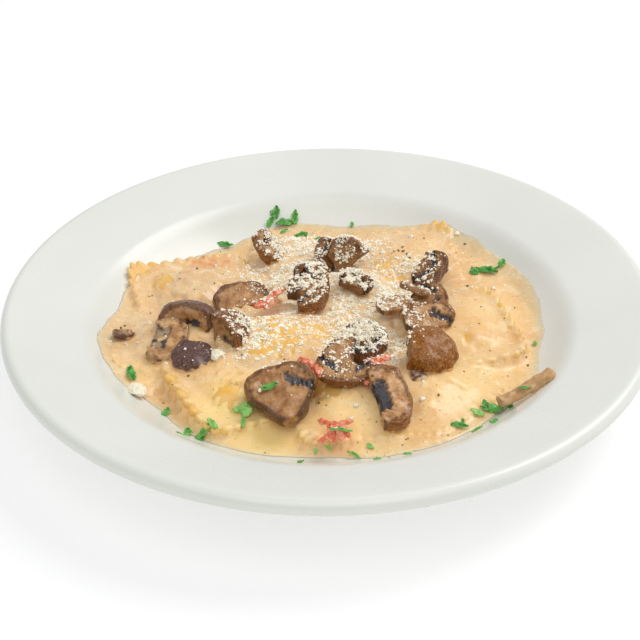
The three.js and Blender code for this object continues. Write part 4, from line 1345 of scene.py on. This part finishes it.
def leaflet(length, width, seed):
    """One toothed leaflet along +X from the origin, creased along its midrib."""
    draw = np.random.default_rng(seed)
    s = np.linspace(0, 1, LEAF_STEPS)[:, None]
    t = np.linspace(-1, 1, LEAF_ACROSS)[None, :]
    teeth = 1 + 0.42 * np.abs(t) * (np.abs(np.sin(np.pi * (s * 3 + draw.random()))) - 0.6)
    half = width / 2 * np.sin(np.pi * (0.05 + 0.92 * s) ** 0.8) ** 0.8 * teeth
    bend = draw.uniform(-0.25, 0.25)
    x = length * s + 0.25 * width * np.abs(t) * np.sin(np.pi * s)
    y = half * t + bend * length * s * s
    z = 0.35 * np.abs(t) * half + 0.1 * length * np.sin(3 * s + draw.uniform(0, 6))
    z = z + 0.05 * length * np.sin(9 * s + 3 * t + draw.uniform(0, 6))
    points = np.stack([x + 0 * y, y, z + 0 * y], -1).reshape(-1, 3)
    margin = np.broadcast_to(np.abs(t) ** 3, (LEAF_STEPS, LEAF_ACROSS)).ravel()
    return points, weave(LEAF_STEPS, LEAF_ACROSS), margin


def make_parsley(top, material):
    """All the parsley, each piece propped on what is under it."""
    leaves, young, margins = [], [], []
    for number, (x, y, length, turn, leaflets, slim, pale, stand) in enumerate(PARSLEY):
        lean = math.radians(stand)
        for k in range(leaflets):
            seed = 500 + 7 * number + k
            spread = (k - (leaflets - 1) / 2) * LEAF_SPREAD
            leaf, faces, margin = leaflet(length * (1 - 0.15 * (k % 2)), length * slim, seed)
            leaf -= (length / 2 if leaflets == 1 else length / 4, 0, 0)
            leaf = leaf @ turning(turn + spread)
            up = leaf[:, 1] - leaf[:, 1].min()
            leaf[:, 1] = leaf[:, 1] * math.cos(lean) - leaf[:, 2] * math.sin(lean) + y
            leaf[:, 2] = leaf[:, 2] * math.cos(lean) + up * math.sin(lean)
            leaf[:, 0] += x
            floor = top[cell(leaf[:, 0]), cell(leaf[:, 1])]
            rest, *around = top[cell(x + NEAR_BY[0]), cell(y + NEAR_BY[1])]
            rest = min(around) if rest - min(around) > CLIFF else rest
            leaf[:, 2] += rest + LEAF_THICKNESS - leaf[:, 2].min()
            leaf[:, 2] = smooth_max(leaf[:, 2], np.minimum(floor, rest + CLIMB) + 0.3, 0.4)
            leaves.append((leaf, faces))
            young.append(np.full(len(leaf), pale))
            margins.append(margin * 0.7)
    parsley = make_mesh("parsley_leaves", *together(leaves), material)
    mark(parsley, young=np.concatenate(young), margin=np.concatenate(margins))
    thick = parsley.modifiers.new("thickness", "SOLIDIFY")
    thick.thickness = LEAF_THICKNESS * MM
    thick.offset = 0
    return serve(finished(parsley))


# ---- Stage, light and camera ------------------------------------------------------------------

CAMERA_AIM = (-3.9, -18.5, 37.0)
CAMERA_DISTANCE = 635.1
CAMERA_ELEVATION = 33.44  # degrees above the horizon
CAMERA_ROLL = -0.99  # degrees
CAMERA_LENS = 78.75
CAMERA_SENSOR = 36
FLOOR_REACH = 4000.0


def make_camera():
    e, roll = math.radians(CAMERA_ELEVATION), math.radians(CAMERA_ROLL)
    back = Vector((0, -math.cos(e), math.sin(e)))
    right = Vector((1, 0, 0))
    up = back.cross(right)
    x = right * math.cos(roll) + up * math.sin(roll)
    y = up * math.cos(roll) - right * math.sin(roll)
    data = bpy.data.cameras.new("camera")
    data.lens = CAMERA_LENS
    data.sensor_width = CAMERA_SENSOR
    data.clip_start, data.clip_end = 0.01, 50  # in metres
    camera = bpy.data.objects.new("camera", data)
    turn = Matrix((x, y, back)).transposed().to_4x4()
    place = (Vector(CAMERA_AIM) + back * CAMERA_DISTANCE) * MM
    camera.matrix_world = Matrix.Translation(place) @ turn
    show(camera)
    bpy.context.scene.camera = camera


def make_stage():
    corners = FLOOR_REACH * np.array([(-1, -1, 0), (1, -1, 0), (1, 1, 0), (-1, 1, 0)])
    make_mesh("studio_floor", corners, [[0, 1, 2, 3]], studio_paper())


# Name, place and width across, both in metres, and watts.
LIGHTS = [("key", (0.95, 0.55, 1.4), 1.1, 16), ("softbox", (-0.1, -0.9, 1.5), 1.6, 9)]
LIGHTS_AIM = (0, 0, 0.02)  # in metres
SKY_STRENGTH = 0.53


def add_light(name, place, size, watts):
    data = bpy.data.lights.new(name, "AREA")
    data.shape = "DISK"
    data.size = size
    data.energy = watts
    light = bpy.data.objects.new(name, data)
    light.location = place
    light.rotation_mode = "QUATERNION"
    light.rotation_quaternion = (Vector(LIGHTS_AIM) - Vector(place)).to_track_quat("-Z", "Y")
    show(light)


def make_light():
    world = bpy.data.worlds.new("studio")
    world.use_nodes = True
    background = world.node_tree.nodes["Background"]
    background.inputs["Color"].default_value = linear("fbfcff")
    background.inputs["Strength"].default_value = SKY_STRENGTH
    bpy.context.scene.world = world
    for light in LIGHTS:
        add_light(*light)
    bpy.context.scene.view_settings.view_transform = "Standard"


# ---- The whole dish ---------------------------------------------------------------------------


def main():
    make_camera()
    make_stage()
    make_light()
    make_plate()
    pasta = pasta_heights()
    bare = bareness()
    heights = sauce_heights(pasta, bare)
    dough = boiled_pasta()
    for index, piece in enumerate(RAVIOLI):
        make_raviolo(index, piece, dough)
    make_sauce(heights, pasta)
    brown = roasted_mushroom()
    toppings = [make_mushroom(i, piece, heights, brown) for i, piece in enumerate(MUSHROOMS)]
    toppings += [make_stalk(i, strip, heights, brown) for i, strip in enumerate(STALKS)]
    red = cooked_tomato()
    toppings += [make_tomato(i, strip, red) for i, strip in enumerate(TOMATOES)]
    block = hard_cheese("hard_cheese_chunk", light="f7f1dc", dark="eadfc0", grain_size=1.4)
    toppings += [make_cheese(i, chunk, block) for i, chunk in enumerate(CHEESES)]
    x, y, top = landing_heights(heights, toppings)
    sheet = make_landing(x, y, top)
    grated = hard_cheese("grated_hard_cheese", light="fffaec", dark="fff4d8", grain_size=0.8)
    for strewn in STREWN_CHEESE:
        strew(sheet, grated, *strewn)
    make_bits(
        "cheese_crumbs", CHEESE_CRUMBS, top, block, "cheese",
        seed=70, shape=(1, 0.8, 0.55), sunk=0.3, fineness=3,
    )
    strew(sheet, cracked_pepper(), *STREWN_PEPPER)
    make_bits(
        "scraps", SCRAPS, top, cracked_pepper(),
        seed=80, shape=(1, 0.6, 0.45), sunk=0.35, fineness=2,
    )
    bpy.data.objects.remove(sheet)
    make_parsley(top, fresh_parsley())


main()
